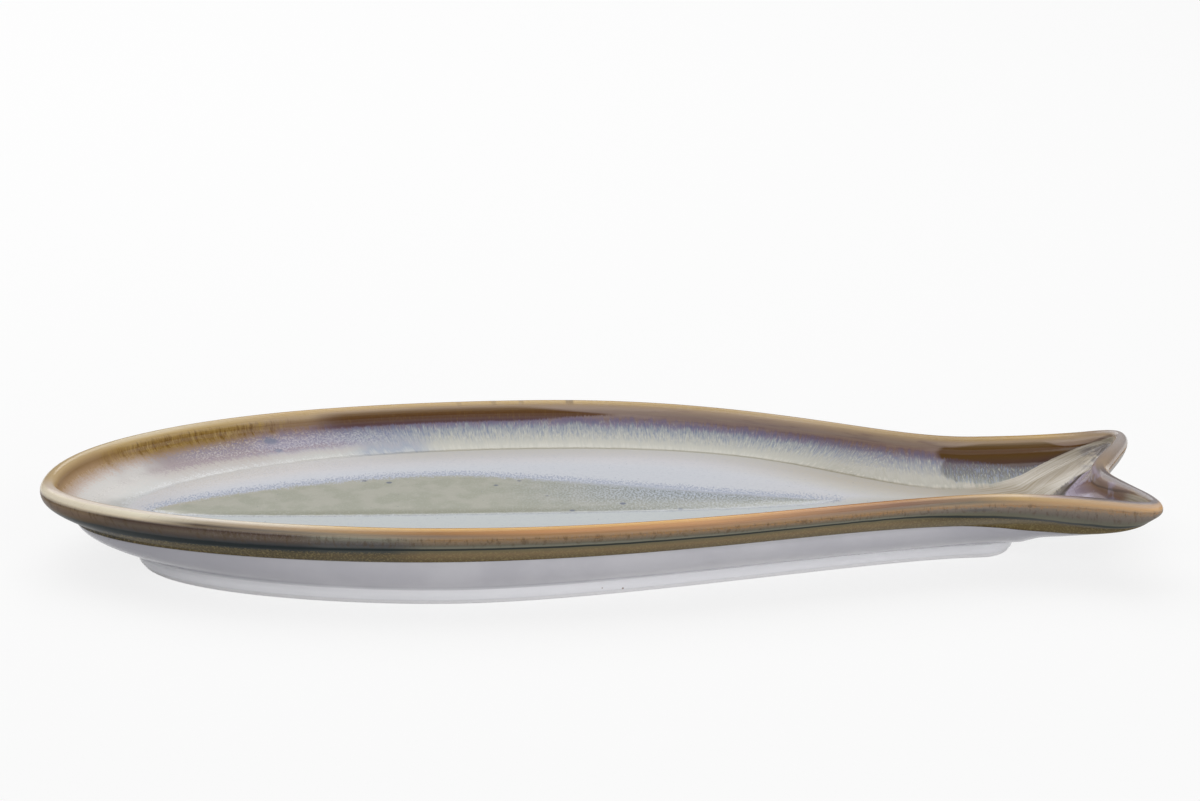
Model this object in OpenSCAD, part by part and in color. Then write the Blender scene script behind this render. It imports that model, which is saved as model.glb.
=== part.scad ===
// Fish shaped platter: one fired stoneware body on a drafted foot ring, with
// its glaze coats as separate skins. X runs from the nose (-X) to the tail
// (+X), the back of the fish is at +Y and the belly at -Y, Z is up and the
// foot rests on z = 0. All curves are closed chains with the same number of
// points, so every skin lies exactly on the clay beneath it.

/* [Overall] */
// Half of the length from the nose to the tail tips
half_length = 176; // [158:0.5:193]
// Half of the width across the back and the belly
half_width = 62.5; // [56:0.5:69]
// Height of the top of the lip above the table
rim_height = 28; // [26:0.5:31]

/* [Body outline] */
// Y of the nose tip
nose_y = -11; // [-14:0.5:-8]
// X of the highest point of the back
back_x = -20; // [-30:1:-10]
// X of the lowest point of the belly
belly_x = -38; // [-48:1:-28]
// Handle length up from the nose, back side
nose_handle_back = 39; // [35:0.5:43]
// Handle length down from the nose, belly side
nose_handle_belly = 27; // [23:0.5:30]
// Handle length towards the nose from the highest point of the back
back_handle_nose = 106; // [95:1:112]
// Handle length towards the nose from the lowest point of the belly
belly_handle_nose = 62; // [54:1:68]
// Handle length towards the tail from the highest point of the back
back_handle_tail = 80; // [72:1:86]
// Handle length towards the tail from the lowest point of the belly
belly_handle_tail = 78; // [68:1:84]
// X of the wrist in front of the tail
wrist_x = 125; // [120:1:130]
// Y of the wrist on the back side
wrist_back_y = 19.6; // [18:0.2:21]
// Y of the wrist on the belly side
wrist_belly_y = -39.6; // [-42:0.2:-38]
// Handle length of the wrist towards the body
wrist_handle_body = 34; // [28:1:38]

/* [Tail] */
// Handle length of the wrist towards the tail
wrist_handle_tail = 14; // [11:0.5:16]
// X of the sharp corner that the back side tip is rounded from
tip_back_x = 181.5; // [179:0.5:183]
// Y of the sharp corner that the back side tip is rounded from
tip_back_y = 27.5; // [25:0.5:30]
// X of the sharp corner that the belly side tip is rounded from
tip_belly_x = 181.8; // [180:0.2:184]
// Y of the sharp corner that the belly side tip is rounded from
tip_belly_y = -53; // [-55:0.5:-51]
// Rise of the outline where it enters the back side tip, in degrees
tip_back_angle = 13; // [10:1:16]
// Fall of the outline where it enters the belly side tip, in degrees
tip_belly_angle = 18; // [15:1:21]
// Length of outline taken up by the rounding on each side of a tip
tip_round = 19; // [16:0.5:21]
// Handle length of the outline where it enters a tip
tip_handle = 9; // [7:0.5:11]
// X of the sharp corner of the tail notch
notch_x = 162.5; // [159:0.5:166]
// Y of the sharp corner of the tail notch
notch_y = -14; // [-16:0.5:-12]
// Length of outline taken up by the rounding on each side of the notch
notch_round = 9; // [7:0.5:11]

/* [Lip and band] */
// Radius of the rounded lip
lip_radius = 2.8; // [2.6:0.1:3.2]
// Height of the lower edge of the coloured band on the outside
band_height = 16.5; // [15.5:0.25:17]
// Share of the outside's run that the band leans in by, lip to lower edge
band_lean_share = 0.36; // [0.32:0.01:0.4]
// Height that the band's lower edge gains at the tail tips
band_rise = 5.6; // [5:0.2:6]

/* [Well] */
// Height of the glazed floor of the well
floor_height = 16.8; // [16:0.1:17.4]
// X of the floor's end at the nose
floor_nose_x = -149; // [-152:1:-146]
// Half of the floor's width across the body
floor_half_width = 43; // [40:0.5:45]
// Handle length of the floor towards the tail, back side
floor_handle_tail = 88; // [80:1:94]
// Handle length of the floor at the wrist
floor_wrist_handle = 40; // [34:1:44]
// Distance that this handle swings out by on the back side
floor_wrist_turn = 14; // [10:0.5:17]
// X where the floor reaches the wrist
floor_wrist_x = 112; // [108:1:116]
// Half of the floor's width at the wrist
floor_wrist_half = 8; // [7:0.25:9]
// X where the floor forks into two valleys
floor_fork_x = 137; // [134:0.5:139]
// X of the root of the notch wall on the floor
notch_root_x = 142; // [141:0.5:144]
// Distance of a valley's end from the sharp corner of its tip
valley_end_gap = 17.5; // [16:0.5:19]
// Height of a valley's end at the tail tips
valley_end_height = 24; // [23:0.25:24.5]

/* [Underside] */
// X of the underside's flat end at the nose
under_nose_x = -147; // [-150:1:-145]
// Half of the width of the underside's flat, at its widest
under_half_width = 54.6; // [51.6:0.2:57]
// X of the widest point of the underside's flat, belly side
under_belly_x = -45; // [-54:1:-36]
// Handle length towards the nose from that point
under_handle_nose = 40; // [34:1:46]
// Handle length towards the tail from that point
under_handle_tail = 50; // [44:1:56]
// X of the end of the foot at the tail
foot_tail_x = 135; // [132:0.5:136]
// Half of the width of the underside's flat, at the wrist
under_wrist_half = 12.6; // [11.6:0.2:13.6]
// Half of the keels' spread where the underside forks
keel_half_width = 11; // [10:0.25:12]
// X where the underside forks into two keels
under_fork_x = 141; // [140:0.5:143]
// X of the root of the two keels, between them
keel_root_x = 144; // [143.5:0.5:146]
// Height of a keel's end at the tail tips
keel_end_height = 20.4; // [19.6:0.2:21]

/* [Foot] */
// Height of the foot below the body
foot_height = 6.5; // [6:0.1:7]
// Width of the foot where it joins the body
foot_width = 6; // [5.5:0.1:6.5]
// Distance that the foot's outer side leans in towards the table
foot_draft = 1.4; // [1:0.1:1.8]
// Radius of the foot's rounded lower edges
foot_edge = 1.3; // [1:0.1:1.5]
// Ledge left free on the body outside the foot
foot_ledge = 0.6; // [0.4:0.1:0.8]
// Height of the recess inside the foot, above the table
recess_height = 10.6; // [10:0.1:11]

/* [Glaze coats] */
// Thickness of the coloured glaze inside and on the band
glaze = 0.6; // [0.4:0.05:0.8]
// Thickness of the clear glaze on the underside and the foot
clear_glaze = 0.35; // [0.25:0.05:0.45]
// Height of the bare rim left unglazed above the table
bare_rim = 1.6; // [1.5:0.1:2]
// Thickness of the pooled glaze in the middle of the well
pool_glaze = 0.3; // [0.2:0.05:0.4]
// X of the pool's end towards the nose
pool_nose_x = -141; // [-144:1:-138]
// X of the pool's end towards the tail
pool_tail_x = 78; // [72:1:84]
// Half of the pool's width
pool_half_width = 19.5; // [17:0.5:22]
// Y of the middle of the pool where it is widest
pool_y = 0.5; // [-1:0.5:2]

/* [Detail] */
// Steps from the nose to the widest point, and from there to the wrist
body_steps = 12; // [10:1:13]
// Steps along each side of a tail tip
tip_steps = 4; // [4:1:5]
// Steps over half of the lip
lip_steps = 3; // [3:1:4]
// Steps down the wall of the well
wall_steps = 6; // [5:1:7]
// Steps down the band
band_steps = 3; // [2:1:3]
// Steps down the underside
under_steps = 5; // [4:1:6]

/* [Hidden] */

// Shares of a length or a height, and plain counts
wrist_steps = 3;
mid_share = 0.5;
quarter_share = 0.25;
skew_floor_share = 0.72;
valley_bow_share = 0.55;
rise_power = 3;
keel_power = 1.35;
lean_power = 1.8;
quarter_turn = 90;
half_turn = 180;
crease_angle = 72;
under_angle = 48;

body_n = 2 * body_steps + wrist_steps;
tip_n = 2 * tip_steps;
last_n = body_n + 2 * tip_n;
loop_n = 2 * last_n;
foot_n = 2 * body_steps;
foot_loop_n = 2 * foot_n;

clay = [0.86, 0.83, 0.78];
coat_in = [0.62, 0.47, 0.28];
coat_band = [0.46, 0.42, 0.32];
coat_clear = [0.90, 0.90, 0.92];
coat_pool = [0.62, 0.65, 0.56];

function unit2(v) = v / norm([v[0], v[1]]);
function flat(v) = [v[0], v[1]];
function lift(p, z) = [p[0], p[1], z];
function line(a, b, t) = a + (b - a) * t;
function quad(a, b, c, t) = line(line(a, b, t), line(b, c, t), t);
function cubic(a, b, c, d, t) = line(quad(a, b, c, t), quad(b, c, d, t), t);
function ray(a) = [cos(a), sin(a)];

// One side of the outline, from the nose to the middle of the notch. The
// tail turns round the sharp corner of its tip and then runs to the notch.
function outline_side(nose, nose_h, crest, crest_h1, crest_h2, wrist,
                      corner, corner_a, other) =
    let (c1 = corner - tip_round * ray(corner_a),
         notch = [notch_x, notch_y],
         c2 = corner + tip_round * unit2(notch - corner),
         q1 = notch + notch_round * unit2(corner - notch),
         q2 = notch + notch_round * unit2(other - notch),
         split = wrist_steps / (wrist_steps + tip_steps))
    concat(
        [for (i = [0 : body_steps - 1])
            cubic(nose, nose + [0, nose_h], crest - [crest_h1, 0], crest,
                  i / body_steps)],
        [for (i = [0 : body_steps - 1])
            cubic(crest, crest + [crest_h2, 0],
                  wrist - [wrist_handle_body, 0], wrist, i / body_steps)],
        [for (i = [0 : wrist_steps + tip_steps - 1])
            cubic(wrist, wrist + [wrist_handle_tail, 0],
                  c1 - tip_handle * ray(corner_a), c1,
                  i / (wrist_steps + tip_steps))],
        [for (i = [0 : 2 * tip_steps - 1])
            quad(c1, corner, c2, i / (2 * tip_steps))],
        [for (i = [0 : tip_steps - 3]) line(c2, q1, i / (tip_steps - 2))],
        [quad(q1, notch, q2, 0), quad(q1, notch, q2, quarter_share),
         quad(q1, notch, q2, mid_share)]);

// One side of a floor curve: along the body, past the wrist to the fork, out
// along a valley to its end and back to the root of the notch wall.
function floor_side(nose, nose_h, crest, crest_h1, crest_h2, wrist,
                    wrist_arm, fork, end, root) =
    concat(
        [for (i = [0 : body_steps - 1])
            cubic(nose, nose + [0, nose_h], crest - [crest_h1, 0], crest,
                  i / body_steps)],
        [for (i = [0 : body_steps - 1])
            cubic(crest, crest + [crest_h2, 0], wrist - wrist_arm, wrist,
                  i / body_steps)],
        [for (i = [0 : wrist_steps - 1]) line(wrist, fork, i / wrist_steps)],
        [for (i = [0 : tip_n - 1]) line(fork, end, i / tip_n)],
        [for (i = [0 : tip_n]) line(end, root, i / tip_n)]);

// A whole loop: the back side forwards, then the belly side in reverse.
function whole(back, belly) =
    concat(back, [for (i = [len(belly) - 2 : -1 : 1]) belly[i]]);

// How far a loop index is out along a valley, 0 at the fork and 1 at a tip.
function side_index(i) = i > last_n ? loop_n - i : i;
function out_share(i) =
    let (j = side_index(i))
    j <= body_n ? 0
    : j <= body_n + tip_n ? (j - body_n) / tip_n : (last_n - j) / tip_n;
function rise(i) = out_share(i) * (1 - valley_bow_share + valley_bow_share * out_share(i));

nose = [-half_length, nose_y];
crest_back = [back_x, half_width];
crest_belly = [belly_x, -half_width];
wrist_back = [wrist_x, wrist_back_y];
wrist_belly = [wrist_x, wrist_belly_y];
wrist_mid = (wrist_back_y + wrist_belly_y) * mid_share;
corner_back = [tip_back_x, tip_back_y];
corner_belly = [tip_belly_x, tip_belly_y];

edge = whole(
    outline_side(nose, nose_handle_back, crest_back, back_handle_nose,
                 back_handle_tail, wrist_back, corner_back,
                 tip_back_angle, corner_belly),
    outline_side(nose, -nose_handle_belly, crest_belly, belly_handle_nose,
                 belly_handle_tail, wrist_belly, corner_belly,
                 -tip_belly_angle, corner_back));

notch_point = [notch_x, notch_y];
valley_back = corner_back + valley_end_gap
    * unit2(unit2(notch_point - corner_back) - ray(tip_back_angle));
valley_belly = corner_belly + valley_end_gap
    * unit2(unit2(notch_point - corner_belly) - ray(-tip_belly_angle));

// Handles of the inner curves, as shares of the outline's own handles
inner_handle_share = 0.84;
sole_share = 0.25;
inner_nose_share = 0.6;
belly_turn_share = 0.4;
nose_inset_share = 1.25;

floor_nose = [floor_nose_x, nose_y];
floor_curve = whole(
    floor_side(floor_nose, nose_handle_back * inner_nose_share,
               [back_x, floor_half_width], back_handle_nose * inner_handle_share,
               floor_handle_tail, [floor_wrist_x, wrist_mid + floor_wrist_half],
               [floor_wrist_handle, -floor_wrist_turn],
               [floor_fork_x, wrist_mid + floor_wrist_half], valley_back,
               [notch_root_x, notch_y]),
    floor_side(floor_nose, -nose_handle_belly * inner_nose_share,
               [belly_x, -floor_half_width], belly_handle_nose * inner_handle_share,
               belly_handle_tail * inner_handle_share,
               [floor_wrist_x, wrist_mid - floor_wrist_half],
               [floor_wrist_handle, floor_wrist_turn * belly_turn_share],
               [floor_fork_x, notch_y - floor_wrist_half], valley_belly,
               [notch_root_x, notch_y]));

under_nose = [under_nose_x, nose_y];
under_end_x = foot_tail_x + foot_ledge;
under_curve = whole(
    floor_side(under_nose, nose_handle_back * inner_handle_share,
               [back_x, under_half_width], back_handle_nose * inner_handle_share,
               back_handle_tail, [under_end_x, wrist_mid + under_wrist_half],
               [wrist_handle_body, 0], [under_fork_x, wrist_mid + keel_half_width],
               valley_back, [keel_root_x, notch_y]),
    floor_side(under_nose, -nose_handle_belly,
               [under_belly_x, -under_half_width], under_handle_nose,
               under_handle_tail, [under_end_x, wrist_mid - under_wrist_half],
               [wrist_handle_body, 0], [under_fork_x, wrist_mid - keel_half_width],
               valley_belly, [keel_root_x, notch_y]));

// Inward direction of the outline and the directions towards the two curves
function normal(i) =
    let (d = unit2(edge[(i + 1) % loop_n] - edge[(i + loop_n - 1) % loop_n]))
    [d[1], -d[0]];
normals = [for (i = [0 : loop_n - 1]) normal(i)];
function aim(curve, i) =
    let (u = unit2(curve[i] - edge[i]))
    u / max(skew_floor_share, u * normals[i]);
aim_in = [for (i = [0 : loop_n - 1]) aim(floor_curve, i)];
aim_out = [for (i = [0 : loop_n - 1]) aim(under_curve, i)];

lip_z = rim_height - lip_radius;
function floor_z(i, cut) =
    floor_height - cut + (valley_end_height - floor_height) * rise(i);
function under_z(i) =
    let (run = max(0, under_curve[i][0] - under_end_x)
               / (min(valley_back[0], valley_belly[0]) - under_end_x))
    foot_height + (keel_end_height - foot_height) * pow(min(1, run), keel_power);
function band_z(i) = band_height + band_rise * pow(out_share(i), rise_power);

// Rings over the lip, from the outer side (0) over the top to the inner side
function lip_ring(k, cut) =
    let (a = quarter_turn * k / lip_steps, r = lip_radius - cut)
    [for (i = [0 : loop_n - 1])
        let (d = lip_radius - r * cos(a))
        lift(edge[i] + d * (a <= quarter_turn ? aim_out[i] * (1 - a / half_turn)
                            + aim_in[i] * (a / half_turn)
                            : aim_out[i] * mid_share + aim_in[i] * mid_share),
             lip_z + r * sin(a))];

// Rings down the wall of the well, from the inner side of the lip to the floor
function wall_ring(k, cut) =
    let (a = crease_angle * k / wall_steps,
         h = (1 - cos(a)) / (1 - cos(crease_angle)),
         v = sin(a) / sin(crease_angle),
         top = lip_ring(2 * lip_steps, cut))
    [for (i = [0 : loop_n - 1])
        lift(line(flat(top[i]), floor_curve[i], h),
             lip_z + (floor_z(i, cut) - lip_z) * v)];

// Rings down the band and the underside, on the clay (cut = coat thickness)
function band_ring(k, cut) =
    [for (i = [0 : loop_n - 1])
        let (s = k / band_steps)
        lift(edge[i] + cut * aim_out[i]
             + (under_curve[i] - edge[i]) * band_lean_share * pow(s, lean_power),
             lip_z + (band_z(i) - lip_z) * s)];
function under_ring(k, out) =
    let (a = under_angle * k / under_steps,
         h = (1 - cos(a)) / (1 - cos(under_angle)),
         v = sin(a) / sin(under_angle),
         top = band_ring(band_steps, glaze - out))
    [for (i = [0 : loop_n - 1])
        lift(line(flat(top[i]), under_curve[i], h),
             line(band_z(i), under_z(i) - out, v))];

// Triangles between two rings, and over the whole inside of one ring
function strip(a, b, n, turned) =
    [for (i = [0 : n - 1])
        let (j = (i + 1) % n)
        each turned ? [[a + i, a + j, b + j], [a + i, b + j, b + i]]
                    : [[b + j, a + j, a + i], [b + i, b + j, a + i]]];
function strip_part(a, b, from, to) =
    [for (i = [from : to - 1])
        let (j = (i + 1) % loop_n)
        each [[b + j, a + j, a + i], [b + i, b + j, a + i]]];
function turn(faces, turned) =
    turned ? [for (f = faces) [f[2], f[1], f[0]]] : faces;
function fork_fill(o) =
    concat(
        [for (i = [2 * body_steps : body_n - 1])
            let (m = (loop_n - i) % loop_n, w = loop_n - i - 1)
            each [[o + i, o + w, o + i + 1], [o + i, o + m, o + w]]],
        [[o + body_n, o + loop_n - body_n, o + last_n]],
        [for (j = [0 : tip_n - 1])
            let (p = body_n + j, q = last_n - j)
            each j == tip_n - 1 ? [[o + p, o + q, o + p + 1]]
            : [[o + p, o + q, o + p + 1], [o + p + 1, o + q, o + q - 1]]],
        [for (j = [0 : tip_n - 1])
            let (p = last_n + j, q = loop_n - body_n - j)
            each j == tip_n - 1 ? [[o + p, o + q, o + p + 1]]
            : [[o + p, o + q, o + p + 1], [o + p + 1, o + q, o + q - 1]]]);
function body_fill(o) =
    concat(
        [[o, o + loop_n - 1, o + 1]],
        [for (i = [1 : 2 * body_steps - 1])
            let (m = loop_n - i, w = loop_n - i - 1)
            each [[o + i, o + w, o + i + 1], [o + i, o + m, o + w]]]);
function foot_fill(o) =
    concat(
        [[o, o + foot_loop_n - 1, o + 1]],
        [for (i = [1 : foot_n - 2])
            let (m = foot_loop_n - i, w = foot_loop_n - i - 1)
            each [[o + i, o + w, o + i + 1], [o + i, o + m, o + w]]],
        [[o + foot_n - 1, o + foot_n + 1, o + foot_n]]);
function stack(rings) = [for (r = rings) each r];

// The loop of the foot: the underside's curve up to the end of the foot,
// drawn in by a distance, with a rounded end at the tail.
function foot_side(inset, up) =
    let (h = under_half_width - foot_ledge - inset,
         w = under_wrist_half - foot_ledge - inset,
         s = up ? 1 : -1,
         crest = [up ? back_x : under_belly_x, s * h],
         tail = foot_tail_x - inset,
         neck = [tail - w, wrist_mid + s * w],
         noses = [under_nose_x + (foot_ledge + inset) * nose_inset_share, nose_y],
         long = up ? back_handle_nose * inner_handle_share : under_handle_nose,
         after = up ? back_handle_tail : under_handle_tail,
         tall = up ? nose_handle_back * inner_handle_share : nose_handle_belly)
    concat(
        [for (i = [0 : body_steps - 1])
            cubic(noses, noses + [0, s * (tall - inset * mid_share)],
                  crest - [long, 0], crest, i / body_steps)],
        [for (i = [0 : body_steps - foot_turn_steps - 1])
            cubic(crest, crest + [after, 0], neck - [wrist_handle_body, 0], neck,
                  i / (body_steps - foot_turn_steps))],
        [for (i = [0 : foot_turn_steps])
            let (a = quarter_turn * i / foot_turn_steps)
            [neck[0] + w * sin(a), wrist_mid + s * w * cos(a)]]);
foot_turn_steps = 4;
function foot_loop(inset) =
    let (b = foot_side(inset, true), v = foot_side(inset, false))
    concat(b, [for (i = [foot_n - 1 : -1 : 1]) v[i]]);
function at(loop, z) = [for (p = loop) lift(p, z)];

recess = foot_loop(foot_width);

// The stoneware body: lip, wall and floor on top, band and underside below,
// and the recess inside the line of the foot.
module clay_body() {
    lips = [for (k = [0 : 2 * lip_steps]) lip_ring(k, glaze)];
    walls = [for (k = [1 : wall_steps]) wall_ring(k, glaze)];
    bands = [for (k = [band_steps : -1 : 1]) band_ring(k, glaze)];
    unders = [for (k = [under_steps : -1 : 1]) under_ring(k, 0)];
    rings = concat(unders, bands, lips, walls);
    top = (len(rings) - 1) * loop_n;
    base = len(rings) * loop_n;
    roof = base + foot_loop_n;
    color(clay)
        polyhedron(
            points = concat(stack(rings), at(recess, foot_height),
                            at(recess, recess_height)),
            faces = concat(
                [for (k = [0 : len(rings) - 2])
                    each strip(k * loop_n, (k + 1) * loop_n, loop_n, true)],
                turn(concat(fork_fill(top), body_fill(top)), true),
                fork_fill(0),
                [for (i = [0 : foot_n - 1])
                    each [[i, base + i + 1, i + 1], [i, base + i, base + i + 1]]],
                [for (i = [0 : foot_n - 1])
                    let (a = (loop_n - i) % loop_n, b = loop_n - i - 1,
                         c = base + (foot_loop_n - i) % foot_loop_n,
                         d = base + foot_loop_n - i - 1)
                    each [[a, b, d], [a, d, c]]],
                [[foot_n, base + foot_n, loop_n - foot_n]],
                strip(base, roof, foot_loop_n, false),
                foot_fill(roof)),
            convexity = 8);
}

// The foot: a drafted ring of the same clay with rounded lower edges and a
// flat bare sole that the platter rests on.
module foot_ring() {
    turns = [quarter_turn * sole_share, quarter_turn * mid_share,
             quarter_turn * (1 - sole_share)];
    rings = concat(
        [at(foot_loop(0), foot_height),
         at(foot_loop(foot_draft * (1 - bare_rim / foot_height)), bare_rim)],
        [for (k = [0 : 2])
            at(foot_loop(foot_draft + foot_edge * (1 - cos(turns[k]))),
               foot_edge * (1 - sin(turns[k])))],
        [for (k = [2 : -1 : 0])
            at(foot_loop(foot_width - foot_edge * (1 - cos(turns[k]))),
               foot_edge * (1 - sin(turns[k])))],
        [at(foot_loop(foot_width), bare_rim),
         at(foot_loop(foot_width), foot_height)]);
    n = len(rings);
    sole = foot_edge * (1 - sin(turns[2]));
    lean = foot_edge * (1 - cos(turns[2]));
    color(clay)
        union() {
            polyhedron(
                points = stack(rings),
                faces = [for (k = [0 : n - 1])
                    each strip(k * foot_loop_n, ((k + 1) % n) * foot_loop_n,
                               foot_loop_n, false)],
                convexity = 8);
            linear_extrude(sole)
                difference() {
                    polygon(foot_loop(foot_draft + lean));
                    polygon(foot_loop(foot_width - lean));
                }
        }
}

// A closed skin between the rings of the clay and the rings of its surface.
module skin(inner, outer, filled) {
    n = len(inner);
    o = n * loop_n;
    polyhedron(
        points = concat(stack(inner), stack(outer)),
        faces = concat(
            [for (k = [0 : n - 2])
                each strip(k * loop_n, (k + 1) * loop_n, loop_n, false)],
            [for (k = [0 : n - 2])
                each strip(o + k * loop_n, o + (k + 1) * loop_n, loop_n, true)],
            strip(o, 0, loop_n, false),
            filled == "none"
                ? strip((n - 1) * loop_n, o + (n - 1) * loop_n, loop_n, false)
                : concat(turn(concat(fork_fill((n - 1) * loop_n),
                                     body_fill((n - 1) * loop_n)), false),
                         turn(concat(fork_fill(o + (n - 1) * loop_n),
                                     body_fill(o + (n - 1) * loop_n)), true))),
        convexity = 8);
}

// The reactive glaze over the lip, the wall and the floor.
module inside_glaze() {
    color(coat_in)
        skin([for (k = [0 : 2 * lip_steps]) lip_ring(k, glaze),
              for (k = [1 : wall_steps]) wall_ring(k, glaze)],
             [for (k = [0 : 2 * lip_steps]) lip_ring(k, 0),
              for (k = [1 : wall_steps]) wall_ring(k, 0)], "all");
}

// The band of glaze on the outside, from the lip down to its sharp edge.
module rim_band_glaze() {
    color(coat_band)
        skin([for (k = [band_steps : -1 : 0]) band_ring(k, glaze)],
             [for (k = [band_steps : -1 : 0]) band_ring(k, 0)], "none");
}

// The clear glaze on the underside, round the foot and out under the tail.
module underside_glaze() {
    inner = concat([for (k = [under_steps : -1 : 1]) under_ring(k, 0)],
                   [band_ring(band_steps, glaze)]);
    outer = concat([for (k = [under_steps : -1 : 1]) under_ring(k, clear_glaze)],
                   [band_ring(band_steps, glaze - clear_glaze)]);
    n = len(inner);
    o = n * loop_n;
    f = 2 * body_steps;
    g = loop_n - f;
    color(coat_clear)
        polyhedron(
            points = concat(stack(inner), stack(outer)),
            faces = concat(
                [for (k = [0 : n - 2])
                    each strip(k * loop_n, (k + 1) * loop_n, loop_n, false)],
                [for (k = [0 : n - 2])
                    each strip(o + k * loop_n, o + (k + 1) * loop_n, loop_n, true)],
                strip((n - 1) * loop_n, o + (n - 1) * loop_n, loop_n, false),
                strip_part(o, 0, 0, f), strip_part(o, 0, g, loop_n),
                [[f, g, o + g], [f, o + g, o + f]],
                turn(fork_fill(0), true), fork_fill(o)),
            convexity = 8);
}

// The clear glaze on the outer side of the foot, above its bare rim.
module foot_glaze() {
    low = foot_draft * (1 - bare_rim / foot_height);
    rings = [at(foot_loop(0), foot_height), at(foot_loop(low), bare_rim),
             at(foot_loop(low - clear_glaze), bare_rim),
             at(foot_loop(-clear_glaze), foot_height)];
    n = len(rings);
    color(coat_clear)
        polyhedron(
            points = stack(rings),
            faces = [for (k = [0 : n - 1])
                each strip(k * foot_loop_n, ((k + 1) % n) * foot_loop_n,
                           foot_loop_n, true)],
            convexity = 8);
}

// The clear glaze on the roof of the recess inside the foot.
module base_glaze() {
    color(coat_clear)
        translate([0, 0, recess_height - clear_glaze])
            linear_extrude(clear_glaze)
                polygon(recess);
}

// The thicker glaze that pooled in the middle of the well's floor.
module well_pool() {
    front = [pool_nose_x, nose_y];
    rear = [pool_tail_x, nose_y];
    mid = [(back_x + belly_x) * mid_share, pool_y];
    up = mid + [0, pool_half_width];
    down = mid - [0, pool_half_width];
    reach = (pool_tail_x - pool_nose_x) * quarter_share;
    tip = [0, pool_half_width * quarter_share];
    color(coat_pool)
        translate([0, 0, floor_height])
            linear_extrude(pool_glaze)
                polygon(concat(
                    [for (i = [0 : body_steps - 1])
                        cubic(front, front + tip, up - [reach, 0], up,
                              i / body_steps)],
                    [for (i = [0 : body_steps - 1])
                        cubic(up, up + [reach, 0], rear + tip, rear,
                              i / body_steps)],
                    [for (i = [0 : body_steps - 1])
                        cubic(rear, rear - tip, down + [reach, 0], down,
                              i / body_steps)],
                    [for (i = [0 : body_steps - 1])
                        cubic(down, down - [reach, 0], front - tip, front,
                              i / body_steps)]));
}

clay_body();
foot_ring();
inside_glaze();
rim_band_glaze();
underside_glaze();
foot_glaze();
base_glaze();
well_pool();
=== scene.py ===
# %% [markdown]
# # A fish shaped platter in reactive glaze
# The platter is one fired piece of stoneware: a shallow dish with the outline of
# a fish, a rounded lip, a forked tail and a low foot. What makes it look as it
# does is glaze, in coats that meet and overlap, so the model is built coat by coat,
# and each coat is a thin closed skin.

# %% Frame
import math

import bmesh
import bpy
import numpy as np
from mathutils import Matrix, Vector


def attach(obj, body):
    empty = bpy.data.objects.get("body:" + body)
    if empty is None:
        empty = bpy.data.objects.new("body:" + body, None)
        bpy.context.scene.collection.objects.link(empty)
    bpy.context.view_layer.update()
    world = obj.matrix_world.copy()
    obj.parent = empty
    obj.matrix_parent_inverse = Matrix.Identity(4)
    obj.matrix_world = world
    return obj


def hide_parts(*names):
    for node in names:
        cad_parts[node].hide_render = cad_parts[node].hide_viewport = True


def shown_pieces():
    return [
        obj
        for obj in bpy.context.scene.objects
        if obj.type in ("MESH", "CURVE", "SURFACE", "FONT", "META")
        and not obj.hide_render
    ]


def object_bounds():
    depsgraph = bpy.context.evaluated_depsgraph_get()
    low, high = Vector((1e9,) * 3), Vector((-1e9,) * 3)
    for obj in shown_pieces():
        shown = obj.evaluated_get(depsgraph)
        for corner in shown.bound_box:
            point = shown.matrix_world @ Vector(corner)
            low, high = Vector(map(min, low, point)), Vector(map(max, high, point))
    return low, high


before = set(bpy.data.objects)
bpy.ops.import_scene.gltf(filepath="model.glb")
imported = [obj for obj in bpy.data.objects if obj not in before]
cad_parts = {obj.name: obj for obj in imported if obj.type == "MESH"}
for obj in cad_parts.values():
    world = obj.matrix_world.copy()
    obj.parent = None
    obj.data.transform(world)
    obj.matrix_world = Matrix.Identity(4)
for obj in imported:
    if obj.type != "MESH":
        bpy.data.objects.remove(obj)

cad_low, cad_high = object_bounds()
print("CAD box in mm:", [round(1000 * c, 2) for c in (*cad_low, *cad_high)])

# %% [markdown]
# ## The sizes
# The length, the width and the height come from the frame. The other sizes are
# the handles of the curves that the outline is drawn with, in millimetres times
# mm, so that everything below is in metres. The back of the fish is the side
# away from the camera and the belly is the near one. They aren't alike: the back
# is fuller, and the belly's tail tip reaches out further.

# %% Sizes
mm = 0.001
half_length = -cad_low.x
half_width = cad_high.y
rim_height = cad_high.z

nose = np.array([-half_length, -11 * mm])
notch = np.array([162.5, -14]) * mm
wrist_x = 125 * mm
wrist_handle_body = 34 * mm
wrist_handle_tail = 14 * mm
tip_round = 19 * mm
tip_handle = 9 * mm
notch_round = 9 * mm

lip_radius = 2.8 * mm
band_height = 16.5 * mm
band_rise = 5.6 * mm
band_lean = 0.36
floor_height = 16.8 * mm
valley_end_height = 24 * mm
valley_end_gap = 17.5 * mm
foot_height = 6.5 * mm
keel_end_height = 20.4 * mm
glaze = 0.6 * mm
clear_glaze = 0.35 * mm
foot_ledge = 0.6 * mm
foot_tail_x = 135 * mm
foot_width = 6 * mm
foot_draft = 1.4 * mm
foot_edge = 1.3 * mm
bare_rim = 1.6 * mm
cove = 1.5 * mm
wobble = 0.07 * mm

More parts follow.
